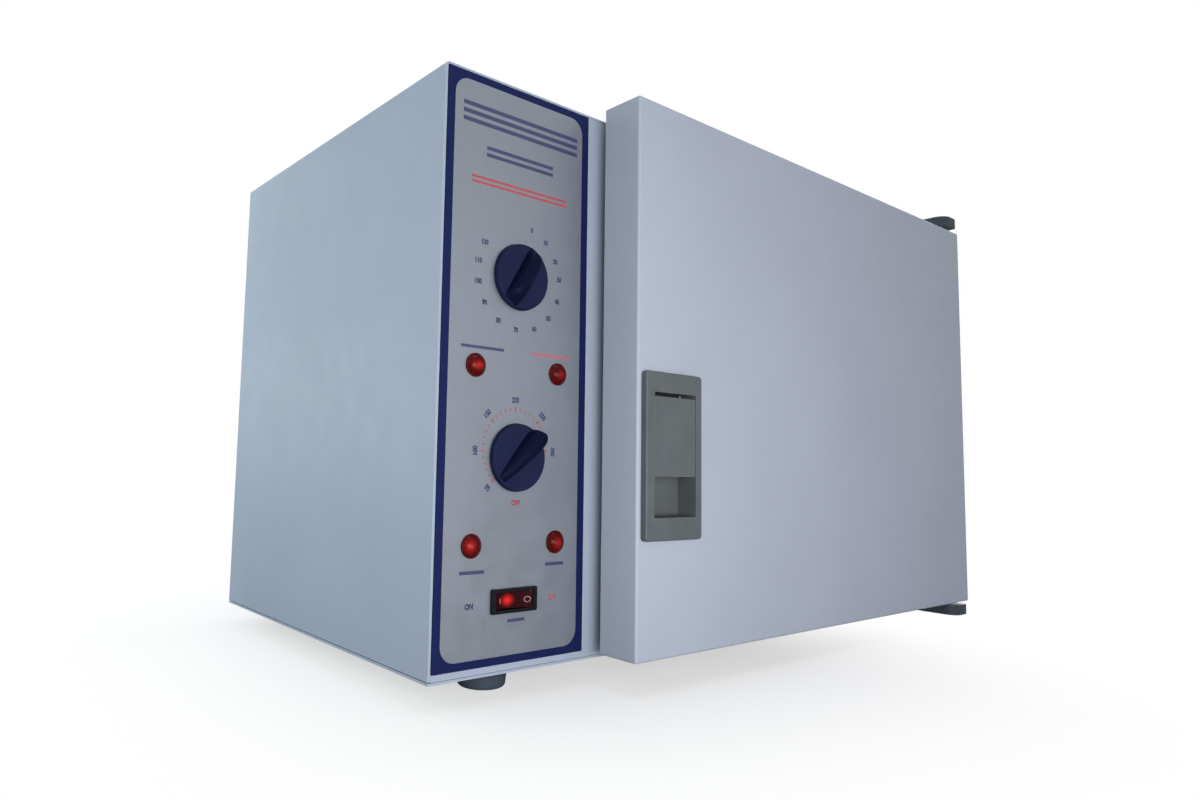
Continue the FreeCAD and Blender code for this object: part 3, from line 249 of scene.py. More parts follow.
def printInk(name, colour):
    look = inkLook
    made, tree, shader = nodeTree(name)
    vector = objectCoords(tree)
    specks = remap(tree, noise(tree, vector, *look["specks"]), 0, 1)
    base = mixColours(tree, specks, shade(colour, look["dark"]), shade(colour, look["light"]))
    tree.links.new(base, shader.inputs["Base Color"])
    uneven(tree, shader, noise(tree, vector, look["wipes"]), look["rough"], look["spread"])
    return made


filmLook = {
    "grain": (2600, 2), "dark": 0.93, "light": 1.07, "rub": (13, 5), "rubShare": 0.5, "rubShade": 0.9, "wipes": 90,
    "spread": (-0.05, 0.08), "depthStrength": 0.05, "depth": 0.00005,
}


def overlayFilm(name, colour, rough, metallic=0.15, shine=0.5):
    # printed film with a fine metallic grain and faint rubbing
    look = filmLook
    made, tree, shader = nodeTree(name)
    vector = objectCoords(tree)
    grain = noise(tree, vector, *look["grain"])
    base = mixColours(tree, remap(tree, grain, 0, 1), shade(colour, look["dark"]), shade(colour, look["light"]))
    rub = remap(tree, noise(tree, vector, *look["rub"]), 0, look["rubShare"])
    tree.links.new(mixColours(tree, rub, base, shade(colour, look["rubShade"])), shader.inputs["Base Color"])
    uneven(tree, shader, noise(tree, vector, look["wipes"]), rough, look["spread"])
    shader.inputs["Metallic"].default_value = metallic
    shader.inputs["Specular IOR Level"].default_value = shine
    bump(tree, shader, grain, look["depthStrength"], look["depth"])
    return made


woolLook = {
    "flatten": (1, 1, 3), "fibres": (420, 8, 0.7), "dark": 0.6, "light": 1.2, "rough": 0.85, "spread": (0, 0.15),
    "depthStrength": 0.9, "depth": 0.0015,
}


def wool(name, colour):
    look = woolLook
    made, tree, shader = nodeTree(name)
    fibres = noise(tree, objectCoords(tree, look["flatten"]), *look["fibres"])
    base = mixColours(tree, remap(tree, fibres, 0, 1), shade(colour, look["dark"]), shade(colour, look["light"]))
    tree.links.new(base, shader.inputs["Base Color"])
    uneven(tree, shader, fibres, look["rough"], look["spread"])
    bump(tree, shader, fibres, look["depthStrength"], look["depth"])
    return made


def ballMask(tree, centre, reach):
    # one in the middle of a ball with three half axes, nought outside it
    scale = [1 / part for part in reach]
    place = [-middle * part for middle, part in zip(centre, scale)]
    ball = tree.nodes.new("ShaderNodeTexGradient")
    ball.gradient_type = "SPHERICAL"
    tree.links.new(objectCoords(tree, scale, place), ball.inputs["Vector"])
    return ball.outputs["Fac"]


redLook = {
    # facets and their edge, with the lighter and darker shares of the colour that paint a glint on each facet cell
    "facets": 620, "facetEdge": (0.1, 0.7), "light": 1.25, "dark": 0.7, "spotEdge": (0.0, 0.85), "rough": 0.24,
    "wipes": 260, "spread": (-0.03, 0.05), "shine": 0.05, "coat": 0.03, "coatRough": 0.22,
    "depthStrength": 0.12, "depth": 0.0002,
    # colours of the light from behind, from the ball's outside to its middle
    "black": (0, 0, 0, 1), "core": (1.0, 0.07, 0.06, 1),
    "stops": ((0.25, (0.09, 0.002, 0.002, 1)), (0.6, (0.45, 0.008, 0.008, 1))),
}


def redPlastic(name, deep, lit, centre, reach, glow):
    # tinted lamp plastic: dark at the rim, lit from behind round one spot, with moulded facets inside whose cells are
    # painted lighter and darker, a painted glint of the facets
    look = redLook
    made, tree, shader = nodeTree(name)
    vector = objectCoords(tree)
    facets = tree.nodes.new("ShaderNodeTexVoronoi")
    facets.inputs["Scale"].default_value = look["facets"]
    tree.links.new(vector, facets.inputs["Vector"])
    facetGlints = remap(tree, facets.outputs["Distance"], 0, 1, *look["facetEdge"])
    mask = ballMask(tree, centre, reach)
    spot = remap(tree, mask, 0, 1, *look["spotEdge"])
    # the facet cells lighten and darken the colour: painted glints of the facets
    base = mixColours(tree, facetGlints, shade(deep, look["light"]), shade(deep, look["dark"]))
    tree.links.new(mixColours(tree, spot, base, lit), shader.inputs["Base Color"])
    uneven(tree, shader, noise(tree, vector, look["wipes"]), look["rough"], look["spread"])
    ramp = tree.nodes.new("ShaderNodeValToRGB")
    stops = ramp.color_ramp.elements
    stops[0].position, stops[0].color = 0.0, look["black"]
    stops[1].position, stops[1].color = 1.0, look["core"]
    for position, colour in look["stops"]:
        stops.new(position).color = colour
    tree.links.new(mask, ramp.inputs["Fac"])
    tree.links.new(ramp.outputs["Color"], shader.inputs["Emission Color"])
    for socket, value in (("Emission Strength", glow), ("Specular IOR Level", look["shine"]),
                          ("Coat Weight", look["coat"]), ("Coat Roughness", look["coatRough"])):
        shader.inputs[socket].default_value = value
    bump(tree, shader, facets.outputs["Distance"], look["depthStrength"], look["depth"])
    finish[name] = made


finish = {
    "casePaint": paint("casePaint", (0.249, 0.290, 0.356), 0.42),
    "doorPaint": paint("doorPaint", (0.286, 0.310, 0.378), 0.40),
    "panelPaint": paint("panelPaint", (0.256, 0.294, 0.366), 0.42),
    "bracketPaint": paint("bracketPaint", (0.040, 0.050, 0.060), 0.50, worn=2.2),
    "bareSteel": brushed("bareSteel", (0.36, 0.36, 0.355), 0.40, 1),
    "brightSteel": brushed("brightSteel", (0.44, 0.44, 0.435), 0.34, 0),
    "zincSteel": brushed("zincSteel", (0.55, 0.55, 0.50), 0.40, 2, 900),
    "sheathSteel": brushed("sheathSteel", (0.16, 0.145, 0.135), 0.45, 1, 1500),
    "brassMetal": brushed("brassMetal", (0.62, 0.43, 0.17), 0.30, 1),
    "copperMetal": brushed("copperMetal", (0.60, 0.28, 0.15), 0.32, 0),
    "knobPlastic": moulded("knobPlastic", (0.0105, 0.0125, 0.038), 0.46, worn=1.2, shine=0.02),
    # the ridge's plastic is the knob's plastic made about three times darker: painted shade on the ridge's flanks,
    # with a smoother finish of its own
    "ridgePlastic": moulded("ridgePlastic", (0.0030, 0.0044, 0.0180), 0.34, worn=1.0, shine=0.02),
    "blackPlastic": moulded("blackPlastic", (0.006, 0.007, 0.009), 0.36, shine=0.06),
    "latchPlastic": moulded("latchPlastic", (0.070, 0.078, 0.084), 0.50, worn=1.3, shine=0.20),
    "footRubber": moulded("footRubber", (0.036, 0.046, 0.062), 0.65, 500, 0.0002, 1.3, 0.15),
    "sealSilicone": moulded("sealSilicone", (0.42, 0.10, 0.055), 0.55, 500, 0.0001, 1.15),
    "ceramic": moulded("ceramic", (0.72, 0.68, 0.58), 0.55, 600, 0.0001, 1.1),
    "mineralWool": wool("mineralWool", (0.62, 0.52, 0.30)),
    "navyFilm": overlayFilm("navyFilm", (0.0075, 0.0120, 0.056), 0.40, shine=0.05),
    "greyFilm": overlayFilm("greyFilm", (0.188, 0.209, 0.243), 0.42, 0.62, 0.25),
    "blueInk": printInk("blueInk", (0.020, 0.024, 0.080)),
    "redInk": printInk("redInk", (0.29, 0.035, 0.042)),
    "paleRedInk": printInk("paleRedInk", (0.27, 0.085, 0.105)),
    "paleInk": printInk("paleInk", (0.25, 0.13, 0.14)),
    "dotInk": printInk("dotInk", (0.05, 0.06, 0.13)),
}
slotFinish = {
    "case_paint": "casePaint", "door_paint": "doorPaint", "panel_paint": "panelPaint",
    "bracket_paint": "bracketPaint", "bare_steel": "bareSteel", "bright_steel": "brightSteel",
    "zinc_steel": "zincSteel", "sheath_steel": "sheathSteel", "brass": "brassMetal",
    "copper": "copperMetal", "dark_plastic": "knobPlastic", "black_plastic": "blackPlastic",
    "latch_plastic": "latchPlastic", "foot_rubber": "footRubber", "seal_silicone": "sealSilicone",
    "ceramic": "ceramic", "mineral_wool": "mineralWool", "overlay_print": "navyFilm",
    "red_lens": "redInk", "red_rocker": "redInk",
}


def dress(thing, *names):
    if thing.data.materials:
        thing.data.materials.clear()      # this also forgets which face has which material
    for name in names:
        thing.data.materials.append(finish[name])


for node in slotOf:
    dress(nodes[node], slotFinish[slotOf[node]])
print("materials on the carried-over pieces")


# Making pieces
making = {
    "weld": 0.005 * mm, "flat": 0.4, "sharp": 35, "roundSteps": 3,     # joining points, and softening edges
    "merge": 0.001 * mm, "cut": 1e-7, "alongY": 0.99, "letterSteps": 3,
}


def pieceFrom(work, name, node, materials=None, smooth=None, stands=True):
    # a finished mesh that rides with the node's body, and stands for the node unless it lies on it
    mesh = bpy.data.meshes.new(name)
    work.to_mesh(mesh)
    work.free()
    thing = bpy.data.objects.new(name, mesh)
    scene.collection.objects.link(thing)
    dress(thing, *(materials or [slotFinish[slotOf[node]]]))
    if smooth is not None:
        for face in mesh.polygons:
            face.use_smooth = True
        mesh.set_sharp_from_angle(angle=math.radians(smooth))
        thing.modifiers.new("flatFaces", "WEIGHTED_NORMAL").keep_sharp = True    # wide faces stay flat
    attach(thing, bodyOf[node])
    if stands:
        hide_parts(node)


def addPart(work, part, place=Matrix(), material=0):
    # puts one finished shape into a larger mesh
    bmesh.ops.transform(part, verts=part.verts, matrix=place)
    mesh = bpy.data.meshes.new("part")
    part.to_mesh(mesh)
    part.free()
    before = len(work.faces)
    work.from_mesh(mesh)
    work.faces.ensure_lookup_table()
    for face in work.faces[before:]:
        face.material_index = material
    bpy.data.meshes.remove(mesh)


def block(work, low, high):
    size = Vector(high) - Vector(low)
    return bmesh.ops.create_cube(work, size=1, matrix=Matrix.Translation((Vector(low) + Vector(high)) / 2)
                                 @ Matrix.Diagonal((*size, 1)))["verts"]


def roundedPlate(work, low, high, radius, segments=8):
    # a flat plate in X and Z with round corners, from low.y to high.y
    verts = block(work, low, high)
    edges = [edge for vert in verts for edge in vert.link_edges
             if abs((edge.verts[0].co - edge.verts[1].co).normalized().y) > making["alongY"]]
    bmesh.ops.bevel(work, geom=list(set(edges)), offset=radius, offset_type="OFFSET", affect="EDGES",
                    segments=segments, profile=0.5, material=-1)


def weldedCopy(node):
    # a node's own solid with its flat faces whole again, ready for its edges to be softened
    work = bmesh.new()
    work.from_mesh(nodes[node].data)
    bmesh.ops.remove_doubles(work, verts=work.verts, dist=making["weld"])
    bmesh.ops.dissolve_limit(work, angle_limit=math.radians(making["flat"]), verts=work.verts, edges=work.edges,
                             use_dissolve_boundaries=False, delimit={"NORMAL"})
    return work


def soften(work, width):
    edges = [edge for edge in work.edges
             if len(edge.link_faces) == 2 and edge.calc_face_angle() > math.radians(making["sharp"])]
    bmesh.ops.bevel(work, geom=edges, offset=width, offset_type="OFFSET", affect="EDGES",
                    segments=making["roundSteps"], profile=0.5, material=-1, clamp_overlap=True)


def cutThrough(work, planes):
    # new edges where planes, each a point and a direction, cross the mesh
    for point, normal in planes:
        bmesh.ops.bisect_plane(work, geom=work.verts[:] + work.edges[:] + work.faces[:], dist=making["cut"],
                               plane_co=point, plane_no=normal)


def spun(work, profile, centre, steps=64, axis="Y"):
    # a profile of radius and reach in millimetres, turned about an axis through the centre;
    # it reaches to the front on Y and upwards on Z
    verts = []
    for radius, reach in profile:
        offset = (radius, -reach, 0) if axis == "Y" else (radius, 0, reach)
        verts.append(work.verts.new(Vector(centre) + Vector(offset) * mm))
    edges = [work.edges.new(pair) for pair in zip(verts, verts[1:])]
    bmesh.ops.spin(work, geom=verts + edges, cent=centre, axis=(0, 1, 0) if axis == "Y" else (0, 0, 1),
                   angle=2 * math.pi, steps=steps, use_merge=True)
    bmesh.ops.remove_doubles(work, verts=work.verts, dist=making["merge"])
    bmesh.ops.recalc_face_normals(work, faces=work.faces)


def arcPoints(middle, radius, start, stop, count):
    # points on a round edge of a profile, by angle from straight out
    angles = [math.radians(start + (stop - start) * number / count) for number in range(count + 1)]
    return [(middle[0] + radius * math.cos(angle), middle[1] + radius * math.sin(angle)) for angle in angles]


def wordMesh(work, body, height, place, turn, depth, bold, width=1.0):
    # one word, centred on its place on the overlay, turned clockwise as seen from the front
    curve = bpy.data.curves.new("word", "FONT")
    curve.body = body
    curve.size = 1
    curve.align_x = "CENTER"
    curve.offset = bold
    curve.resolution_u = making["letterSteps"]
    holder = bpy.data.objects.new("word", curve)
    mesh = bpy.data.meshes.new_from_object(holder)
    low = min(vert.co.y for vert in mesh.vertices)
    high = max(vert.co.y for vert in mesh.vertices)
    scale = height / (high - low)
    letters = bmesh.new()
    letters.from_mesh(mesh)
    bmesh.ops.transform(letters, verts=letters.verts,
                        matrix=Matrix.Rotation(math.pi / 2, 4, "X") @ Matrix.Diagonal((scale * width, scale, 1, 1))
                        @ Matrix.Translation((0, -(low + high) / 2, 0)))
    raised = bmesh.ops.extrude_face_region(letters, geom=letters.faces[:])
    bmesh.ops.translate(letters, vec=(0, -depth, 0),
                        verts=[part for part in raised["geom"] if isinstance(part, bmesh.types.BMVert)])
    bmesh.ops.recalc_face_normals(letters, faces=letters.faces[:])
    addPart(work, letters, Matrix.Translation(place) @ Matrix.Rotation(math.radians(turn), 4, "Y"))
    bpy.data.meshes.remove(mesh)
    bpy.data.objects.remove(holder)
    bpy.data.curves.remove(curve)


def dialPlace(centre, radius, degrees, lift):
    angle = math.radians(degrees)
    return Vector((centre.x + radius * math.sin(angle), overlayFace - lift,
                   centre.z + radius * math.cos(angle)))


# Bent sheet and tube: the same shapes with whole faces that shade smoothly round their bends
smoothAngles = {
    "outer_cover": 24, "door_shell": 24, "front_panel": 24, "rear_panel": 24, "base_tray": 24,
    "chamber_liner": 24, "door_liner": 24, "door_gasket": 40, "hinge_bracket_upper": 30,
    "hinge_bracket_lower": 30, "hinge_bushes": 40, "hinge_pins": 40, "heating_element_lower": 40,
    "heating_element_upper": 40, "heater_insulators": 40, "sensing_bulb": 40, "capillary_tube": 40,
    "bulb_clips": 40, "shelf_lower": 30, "shelf_upper": 30, "shelf_runners_left": 30,
    "shelf_runners_right": 30, "power_inlet": 30, "rear_panel_screws": 40, "inlet_screws": 40,
    "hinge_screws": 40, "foot_screws": 40, "latch_pin": 40, "latch_spring": 50, "timer_body": 40,
    "timer_shaft": 40, "thermostat_shaft": 40,
}
for node, angle in smoothAngles.items():
    pieceFrom(weldedCopy(node), node + "_smooth", node, smooth=angle)
print("sheet and tube smoothed:", len(smoothAngles))

# Overlay: a navy film with a grey field, dial scales, switch words and plain marks
overlay = {
    "fieldLeft": 5.2 * mm, "fieldRight": 5.7 * mm, "fieldLow": 4.6 * mm, "fieldTop": 4.6 * mm,
    "fieldCorner": 10 * mm, "cornerSteps": 12, "film": 0.03 * mm, "ink": 0.02 * mm,
    "timerRadius": 32.2 * mm, "timerHeight": 3.3 * mm, "timerStep": 10,
    "timerAngles": (16.2, 38.5, 62.7, 83.4, 109, 132.7, 157.7, 184.1, 209.5, 234.5, 258, 279.9, 302.2),
    "scaleShift": (-0.8 * mm, 0, 4.2 * mm), "tickRadius": 24.2 * mm,
    "tickStart": -137.5, "tickStep": 9.1, "ticks": 26, "tickEvery": 5,
    "longTick": (1.1 * mm, 2.5 * mm), "shortTick": (0.7 * mm, 1.9 * mm),
    "numberRadius": 29.8 * mm, "numberHeight": 3.5 * mm, "firstNumber": 50, "numberStep": 10,
    "offDrop": 26.6 * mm, "offHeight": 3.2 * mm,
    "onPlace": (-32.0 * mm, -1.3 * mm, 3.4 * mm), "offPlace": (30.3 * mm, -0.7 * mm, 3.3 * mm),
    # how bold and how wide the timer's numbers and the switch's words, the scale's numbers and its word are
    "bold": 0.065, "wide": 0.9, "scaleBold": 0.05, "scaleWide": 0.86, "offBold": 0.055,
    # marks: left and right end from the left of the overlay, height above the switch, thickness, ink
    "marks": (
        (11.2, 102.2, 288.2, 2.6, "blueInk"), (11.2, 102.2, 283.4, 2.6, "blueInk"),
        (11.2, 102.2, 278.6, 2.6, "blueInk"), (28.9, 81.6, 264.6, 2.2, "blueInk"),
        (28.9, 81.6, 260.4, 2.2, "blueInk"), (18.4, 93.3, 245.6, 1.4, "redInk"), (18.4, 93.3, 242.6, 1.4, "redInk"),
        (13.8, 45.2, 145.3, 1.7, "blueInk"), (66.3, 97.9, 145.4, 1.7, "paleRedInk"),
        (16.8, 34.3, 17.3, 2.0, "blueInk"), (80.7, 95.5, 19.1, 2.0, "blueInk"), (52.2, 65.2, -11.6, 1.8, "blueInk"),
    ),
}


def buildField(size):
    low = Vector((overlayLow.x + size["fieldLeft"], overlayFace - size["film"], overlayLow.z + size["fieldLow"]))
    high = Vector((overlayHigh.x - size["fieldRight"], overlayFace + size["film"],
                   overlayHigh.z - size["fieldTop"]))
    field = bmesh.new()
    roundedPlate(field, low, high, size["fieldCorner"], size["cornerSteps"])
    rockerLow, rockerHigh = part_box("switch_rocker")
    cutThrough(field, [(point, normal) for normal in ((1, 0, 0), (0, 0, 1)) for point in (rockerLow, rockerHigh)])
    inside = [face for face in field.faces
              if all(rockerLow[axis] < face.calc_center_median()[axis] < rockerHigh[axis] for axis in (0, 2))]
    bmesh.ops.delete(field, geom=inside, context="FACES")   # the window over the rocker
    pieceFrom(field, "overlayField", "control_overlay", ["greyFilm"], stands=False)


def addScale(inks, size):
    # the thermostat's ticks, with a number at each long one
    scaleCentre = thermostatCentre + Vector(size["scaleShift"])
    for number in range(size["ticks"]):
        angle = size["tickStart"] + number * size["tickStep"]
        long = number % size["tickEvery"] == 0
        wide, tall = size["longTick"] if long else size["shortTick"]
        tick = bmesh.new()
        block(tick, (-wide / 2, -size["ink"], -tall / 2), (wide / 2, 0, tall / 2))
        place = Matrix.Translation(dialPlace(scaleCentre, size["tickRadius"], angle, size["film"]))
        addPart(inks["redInk"], tick, place @ Matrix.Rotation(math.radians(angle), 4, "Y"))
        if long:
            wordMesh(inks["blueInk"], str(size["firstNumber"] + size["numberStep"] * number), size["numberHeight"],
                     dialPlace(scaleCentre, size["numberRadius"], angle, size["film"]), angle, size["ink"],
                     size["scaleBold"], size["scaleWide"])


def buildOverlay(size):
    buildField(size)
    lift = size["film"]
    inks = {name: bmesh.new() for name in ("blueInk", "redInk", "paleRedInk")}
    for number, angle in enumerate(size["timerAngles"]):
        wordMesh(inks["blueInk"], str(number * size["timerStep"]), size["timerHeight"],
                 dialPlace(timerCentre, size["timerRadius"], angle, lift), 0, size["ink"], size["bold"], size["wide"])
    addScale(inks, size)
    face = Vector((switchCentre.x, overlayFace - lift, switchCentre.z))
    wordMesh(inks["redInk"], "OFF", size["offHeight"], dialPlace(thermostatCentre, size["offDrop"], 180, lift), 0,
             size["ink"], size["offBold"])
    for body, place, ink in (("ON", "onPlace", "blueInk"), ("OFF", "offPlace", "paleRedInk")):
        x, z, height = size[place]
        wordMesh(inks[ink], body, height, face + Vector((x, 0, z)), 0, size["ink"], size["bold"], size["wide"])
    for left, right, above, thick, ink in size["marks"]:
        low, high = above - thick / 2, above + thick / 2
        block(inks[ink], (overlayLow.x + left * mm, overlayFace - lift - size["ink"], switchCentre.z + low * mm),
              (overlayLow.x + right * mm, overlayFace - lift, switchCentre.z + high * mm))
    for name, work in inks.items():
        pieceFrom(work, "overlay" + name[0].upper() + name[1:], "control_overlay", [name], stands=False)


buildOverlay(overlay)
print("overlay done")

# Knobs: a turned disc with a ridge across it; the thermostat's grows into a rounded head
knobs = {
    "base": 20.2, "face": 19.8, "skirt": 3.4, "edge": 1.1, "edgeStart": 4, "edgeSteps": 6, "steps": 96,
    "hollow": 1.6, "hollowRound": 0.4, "wall": 2.4, "dish": 0.2, "dishEdge": 4,
    "half": 5.6, "height": 8.0, "foot": 0.6, "smooth": 48,
    # a ridge's levels: shares of its height, and of its width there
    "levels": ((0.2, 0.97), (0.42, 0.90), (0.62, 0.79), (0.78, 0.65), (0.90, 0.48), (1.0, 0.22)),
    # sections of a ridge: place along it as a share of the radius, then shares of its height and width
    "timerTurn": 31,
    "timerRidge": ((-0.96, 0.05, 0.86), (-0.86, 0.38, 0.95), (-0.74, 0.68, 1), (-0.58, 0.88, 1), (-0.36, 0.99, 1),
                   (0, 1, 1), (0.36, 0.99, 1), (0.58, 0.88, 1), (0.74, 0.68, 1), (0.86, 0.38, 0.95),
                   (0.96, 0.05, 0.86)),
    "thermostatTurn": 46,
    "thermostatRidge": ((-0.94, 0.06, 0.42), (-0.82, 0.26, 0.55), (-0.6, 0.46, 0.66), (-0.3, 0.66, 0.8),
                        (0, 0.82, 0.93), (0.3, 0.93, 1.06), (0.55, 0.99, 1.14), (0.76, 1, 1.16), (0.88, 0.99, 1.1),
                        (0.96, 0.96, 0.94), (1.0, 0.9, 0.7)),
    # the dot's place on the face, and its profile
    "dotPlace": (6.3, -2.3), "dotSteps": 20,
    "dotProfile": ((0, -0.1), (0.75, -0.1), (0.75, 0.05), (0.525, 0.12), (0, 0.16)),
}


def addRidge(work, size, sections, place):
    # a bar across the face, cut into lengths and levels, then drawn in to its crest and down to its ends
    reach, foot, rise = size["face"] * mm, size["foot"] * mm, size["height"] * mm
    bar = bmesh.new()
    block(bar, (-size["half"] * mm, -rise, sections[0][0] * reach),
          (size["half"] * mm, foot, sections[-1][0] * reach))
    cutThrough(bar, [((0, 0, section[0] * reach), (0, 0, 1)) for section in sections[1:-1]])
    cutThrough(bar, [((0, -level[0] * rise, 0), (0, 1, 0)) for level in ((0, 1), *size["levels"][:-1])])
    for vert in bar.verts:
        along, high, width = min(sections, key=lambda entry: abs(entry[0] * reach - vert.co.z))
        level, share = min(((-1, 1), (0, 1), *size["levels"]), key=lambda entry: abs(entry[0] * rise + vert.co.y))
        vert.co.x *= width * share
        if level > 0:
            vert.co.y *= high
    addPart(work, bar, place, 1)


def buildKnob(size, name, node, turn, sections, dotted):
    low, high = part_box(node)
    centre = middleOf(node.replace("knob", "shaft"))
    back = Vector((centre.x, high.y, centre.z))
    face = back - Vector((0, size["skirt"] * mm, 0))
    work = bmesh.new()
    inner, edge, hollow, lip = size["base"] - size["wall"], size["edge"], size["hollow"], size["hollowRound"]
    bottom = size["skirt"] - size["dish"]
    profile = [(0, hollow), (inner - lip, hollow), (inner, hollow - lip), (inner, 0), (size["base"], 0)]
    profile += arcPoints((size["face"] - edge, size["skirt"] - edge), edge, size["edgeStart"], 90, size["edgeSteps"])
    profile += [(size["face"] - 2 * edge, size["skirt"]), (size["face"] - size["dishEdge"], bottom), (0, bottom)]
    spun(work, profile, back, size["steps"])
    place = Matrix.Translation(face) @ Matrix.Rotation(math.radians(turn), 4, "Y")
    addRidge(work, size, sections, place)
    if dotted:
        x, z = size["dotPlace"]
        # a small raised dot, paler than the knob
        dot = bmesh.new()
        spun(dot, size["dotProfile"], (0, 0, 0), size["dotSteps"])
        addPart(work, dot, Matrix.Translation(face + Vector((x * mm, 0, z * mm))), 2)
    # the ridge is dressed in the darker copy of the knob plastic, a painted shade
    materials = ["knobPlastic", "ridgePlastic"] + ["dotInk"] * dotted
    pieceFrom(work, name, node, materials, smooth=size["smooth"])


buildKnob(knobs, "timerKnob", "timer_knob", knobs["timerTurn"], knobs["timerRidge"], False)
buildKnob(knobs, "thermostatKnob", "thermostat_knob", knobs["thermostatTurn"], knobs["thermostatRidge"], True)
print("knobs done")

# Lamps: red domes on a rim, each lit from behind a little differently
lamps = {
    "rim": 6.9, "thick": 1.2, "edge": 0.35, "edgeSteps": 4, "ball": 6.2, "rise": 3.6, "ballSteps": 14, "steps": 56,
    "neck": 4.6, "neckEnd": -7.8, "bore": 3.4, "boreTop": 0.8, "boreRoof": ((0, 3.2), (2.4, 2.6)), "smooth": 30,
    "deep": (0.060, 0.0025, 0.0025), "lit": (0.14, 0.005, 0.005), "spotRise": 0.7,
    # place of the lit spot from the middle, its reach, and its strength
    "glow": {"upper_left": ((-0.6, -0.4), (5.2, 6, 3.6), 0.34), "upper_right": ((-0.2, -0.4), (4.0, 6, 3.6), 0.05),
             "lower_left": ((-2.8, 0.2), (4.6, 6, 5.2), 0.28), "lower_right": ((-0.6, -0.4), (4.2, 6, 4.6), 0.16)},
}


def camelName(words):
    first, *others = words.split("_")
    return first + "".join(part.capitalize() for part in others)


def buildLens(size, side):
    node = "lamp_lens_" + side
    low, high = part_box(node)
    centre = Vector(((low.x + high.x) / 2, overlayFace, (low.z + high.z) / 2))
    (x, z), reach, strength = size["glow"][side]
    name = camelName("lens_plastic_" + side)
    spot = (centre.x + x * mm, centre.y - (size["thick"] + size["rise"] * size["spotRise"]) * mm, centre.z + z * mm)
    redPlastic(name, size["deep"], size["lit"], spot, [part * mm for part in reach], strength)
    ballRadius = (size["ball"] ** 2 + size["rise"] ** 2) / (2 * size["rise"])
    sunk = size["thick"] + size["rise"] - ballRadius
    start = math.degrees(math.asin((size["thick"] - sunk) / ballRadius))
    profile = [*size["boreRoof"], (size["bore"], size["boreTop"]), (size["bore"], size["neckEnd"]),
               (size["neck"], size["neckEnd"]), (size["neck"], 0), (size["rim"], 0)]
    profile += arcPoints((size["rim"] - size["edge"], size["thick"] - size["edge"]), size["edge"], 0, 90,
                         size["edgeSteps"])
    profile += arcPoints((0, sunk), ballRadius, start, 90, size["ballSteps"])
    profile[-1] = (0, size["thick"] + size["rise"])
    work = bmesh.new()
    spun(work, profile, centre, size["steps"])
    pieceFrom(work, camelName("lens_" + side), node, [name], smooth=size["smooth"])


for side in lamps["glow"]:
    buildLens(lamps, side)
print("lamps done")

# Switch: a black bezel and a lit red rocker with its two marks
switch = {
    "bezelEdge": 0.35 * mm, "rockerEdge": 0.45 * mm, "smooth": 32,
    "deep": (0.020, 0.0015, 0.003), "lit": (0.18, 0.006, 0.006),
    "glowPlace": (-4.3, 0.1), "glowDepth": 1.2, "glowReach": (6.0, 7, 4.6), "glow": 1.0,
    # ring: place, radius, thickness, share of its height, share of its width; bar: place, width, height
    "ring": (9.0, 0.0, 1.8, 0.42, 0.85, 1.15), "bar": (-9.6, 0.0, 0.45, 3.0), "ringSteps": 40,
    "markFoot": 0.05, "markThick": 0.06, "away": 0.01,
}


def addMarks(size, surface, start):
    # a ring and a bar that lie on the rocker, each found by a ray from in front of it
    foot, thick = size["markFoot"], size["markThick"]
    ring, bar, marks = bmesh.new(), bmesh.new(), bmesh.new()
    x, z, radius, wall, flatter, wider = size["ring"]
    inner, outer = radius - wall / 2, radius + wall / 2
    spun(ring, [(inner, foot), (outer, foot), (outer, thick), (inner, thick), (inner, foot)], (0, 0, 0),
         size["ringSteps"])
    bmesh.ops.scale(ring, verts=ring.verts, vec=(wider, 1, flatter))
    barX, barZ, wide, tall = size["bar"]
    block(bar, (-wide / 2 * mm, -thick * mm, -tall / 2 * mm), (wide / 2 * mm, foot * mm, tall / 2 * mm))
    for part, across, up in ((ring, x, z), (bar, barX, barZ)):
        hit, normal = surface.ray_cast(start + Vector((across, 0, up)) * mm, Vector((0, 1, 0)))[:2]
        lean = Vector((0, -1, 0)).rotation_difference(normal).to_matrix().to_4x4()
        addPart(marks, part, Matrix.Translation(hit) @ lean)
    pieceFrom(marks, "rockerMarks", "switch_rocker", ["paleInk"], stands=False)


def buildSwitch(size):
    bezel = weldedCopy("switch_body")
    soften(bezel, size["bezelEdge"])
    pieceFrom(bezel, "switchBezel", "switch_body", smooth=size["smooth"])
    low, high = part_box("switch_rocker")
    x, z = size["glowPlace"]
    spot = (switchCentre.x + x * mm, low.y + size["glowDepth"] * mm, switchCentre.z + z * mm)
    reach = [part * mm for part in size["glowReach"]]
    redPlastic("rockerPlastic", size["deep"], size["lit"], spot, reach, size["glow"])
    rocker = weldedCopy("switch_rocker")
    soften(rocker, size["rockerEdge"])
    surface = BVHTree.FromBMesh(rocker)
    pieceFrom(rocker, "rockerCap", "switch_rocker", ["rockerPlastic"], smooth=size["smooth"])
    addMarks(size, surface, Vector((switchCentre.x, low.y - size["away"], switchCentre.z)))


buildSwitch(switch)
print("switch done")

# Latch: the door's flush handle, with the edges of its mouldings softened
latch = {
    "smooth": 32,
    # piece that each node gets, and the width of its rounded edges
    "edges": {"latch_housing": ("latchFrame", 0.35 * mm), "latch_paddle": ("latchPaddle", 0.4 * mm)},
}
for node, (name, width) in latch["edges"].items():
    part = weldedCopy(node)
    soften(part, width)
    pieceFrom(part, name, node, smooth=latch["smooth"])
print("latch done")

# Feet: turned rubber cones round their screws
foot = {
    "top": 16.2, "low": 14.8, "round": 2.6, "roundSteps": 7, "bore": 5.5, "floor": 6.0, "hole": 1.65, "height": 15.0,
    "chamfer": 0.5, "steps": 64, "smooth": 35,
}


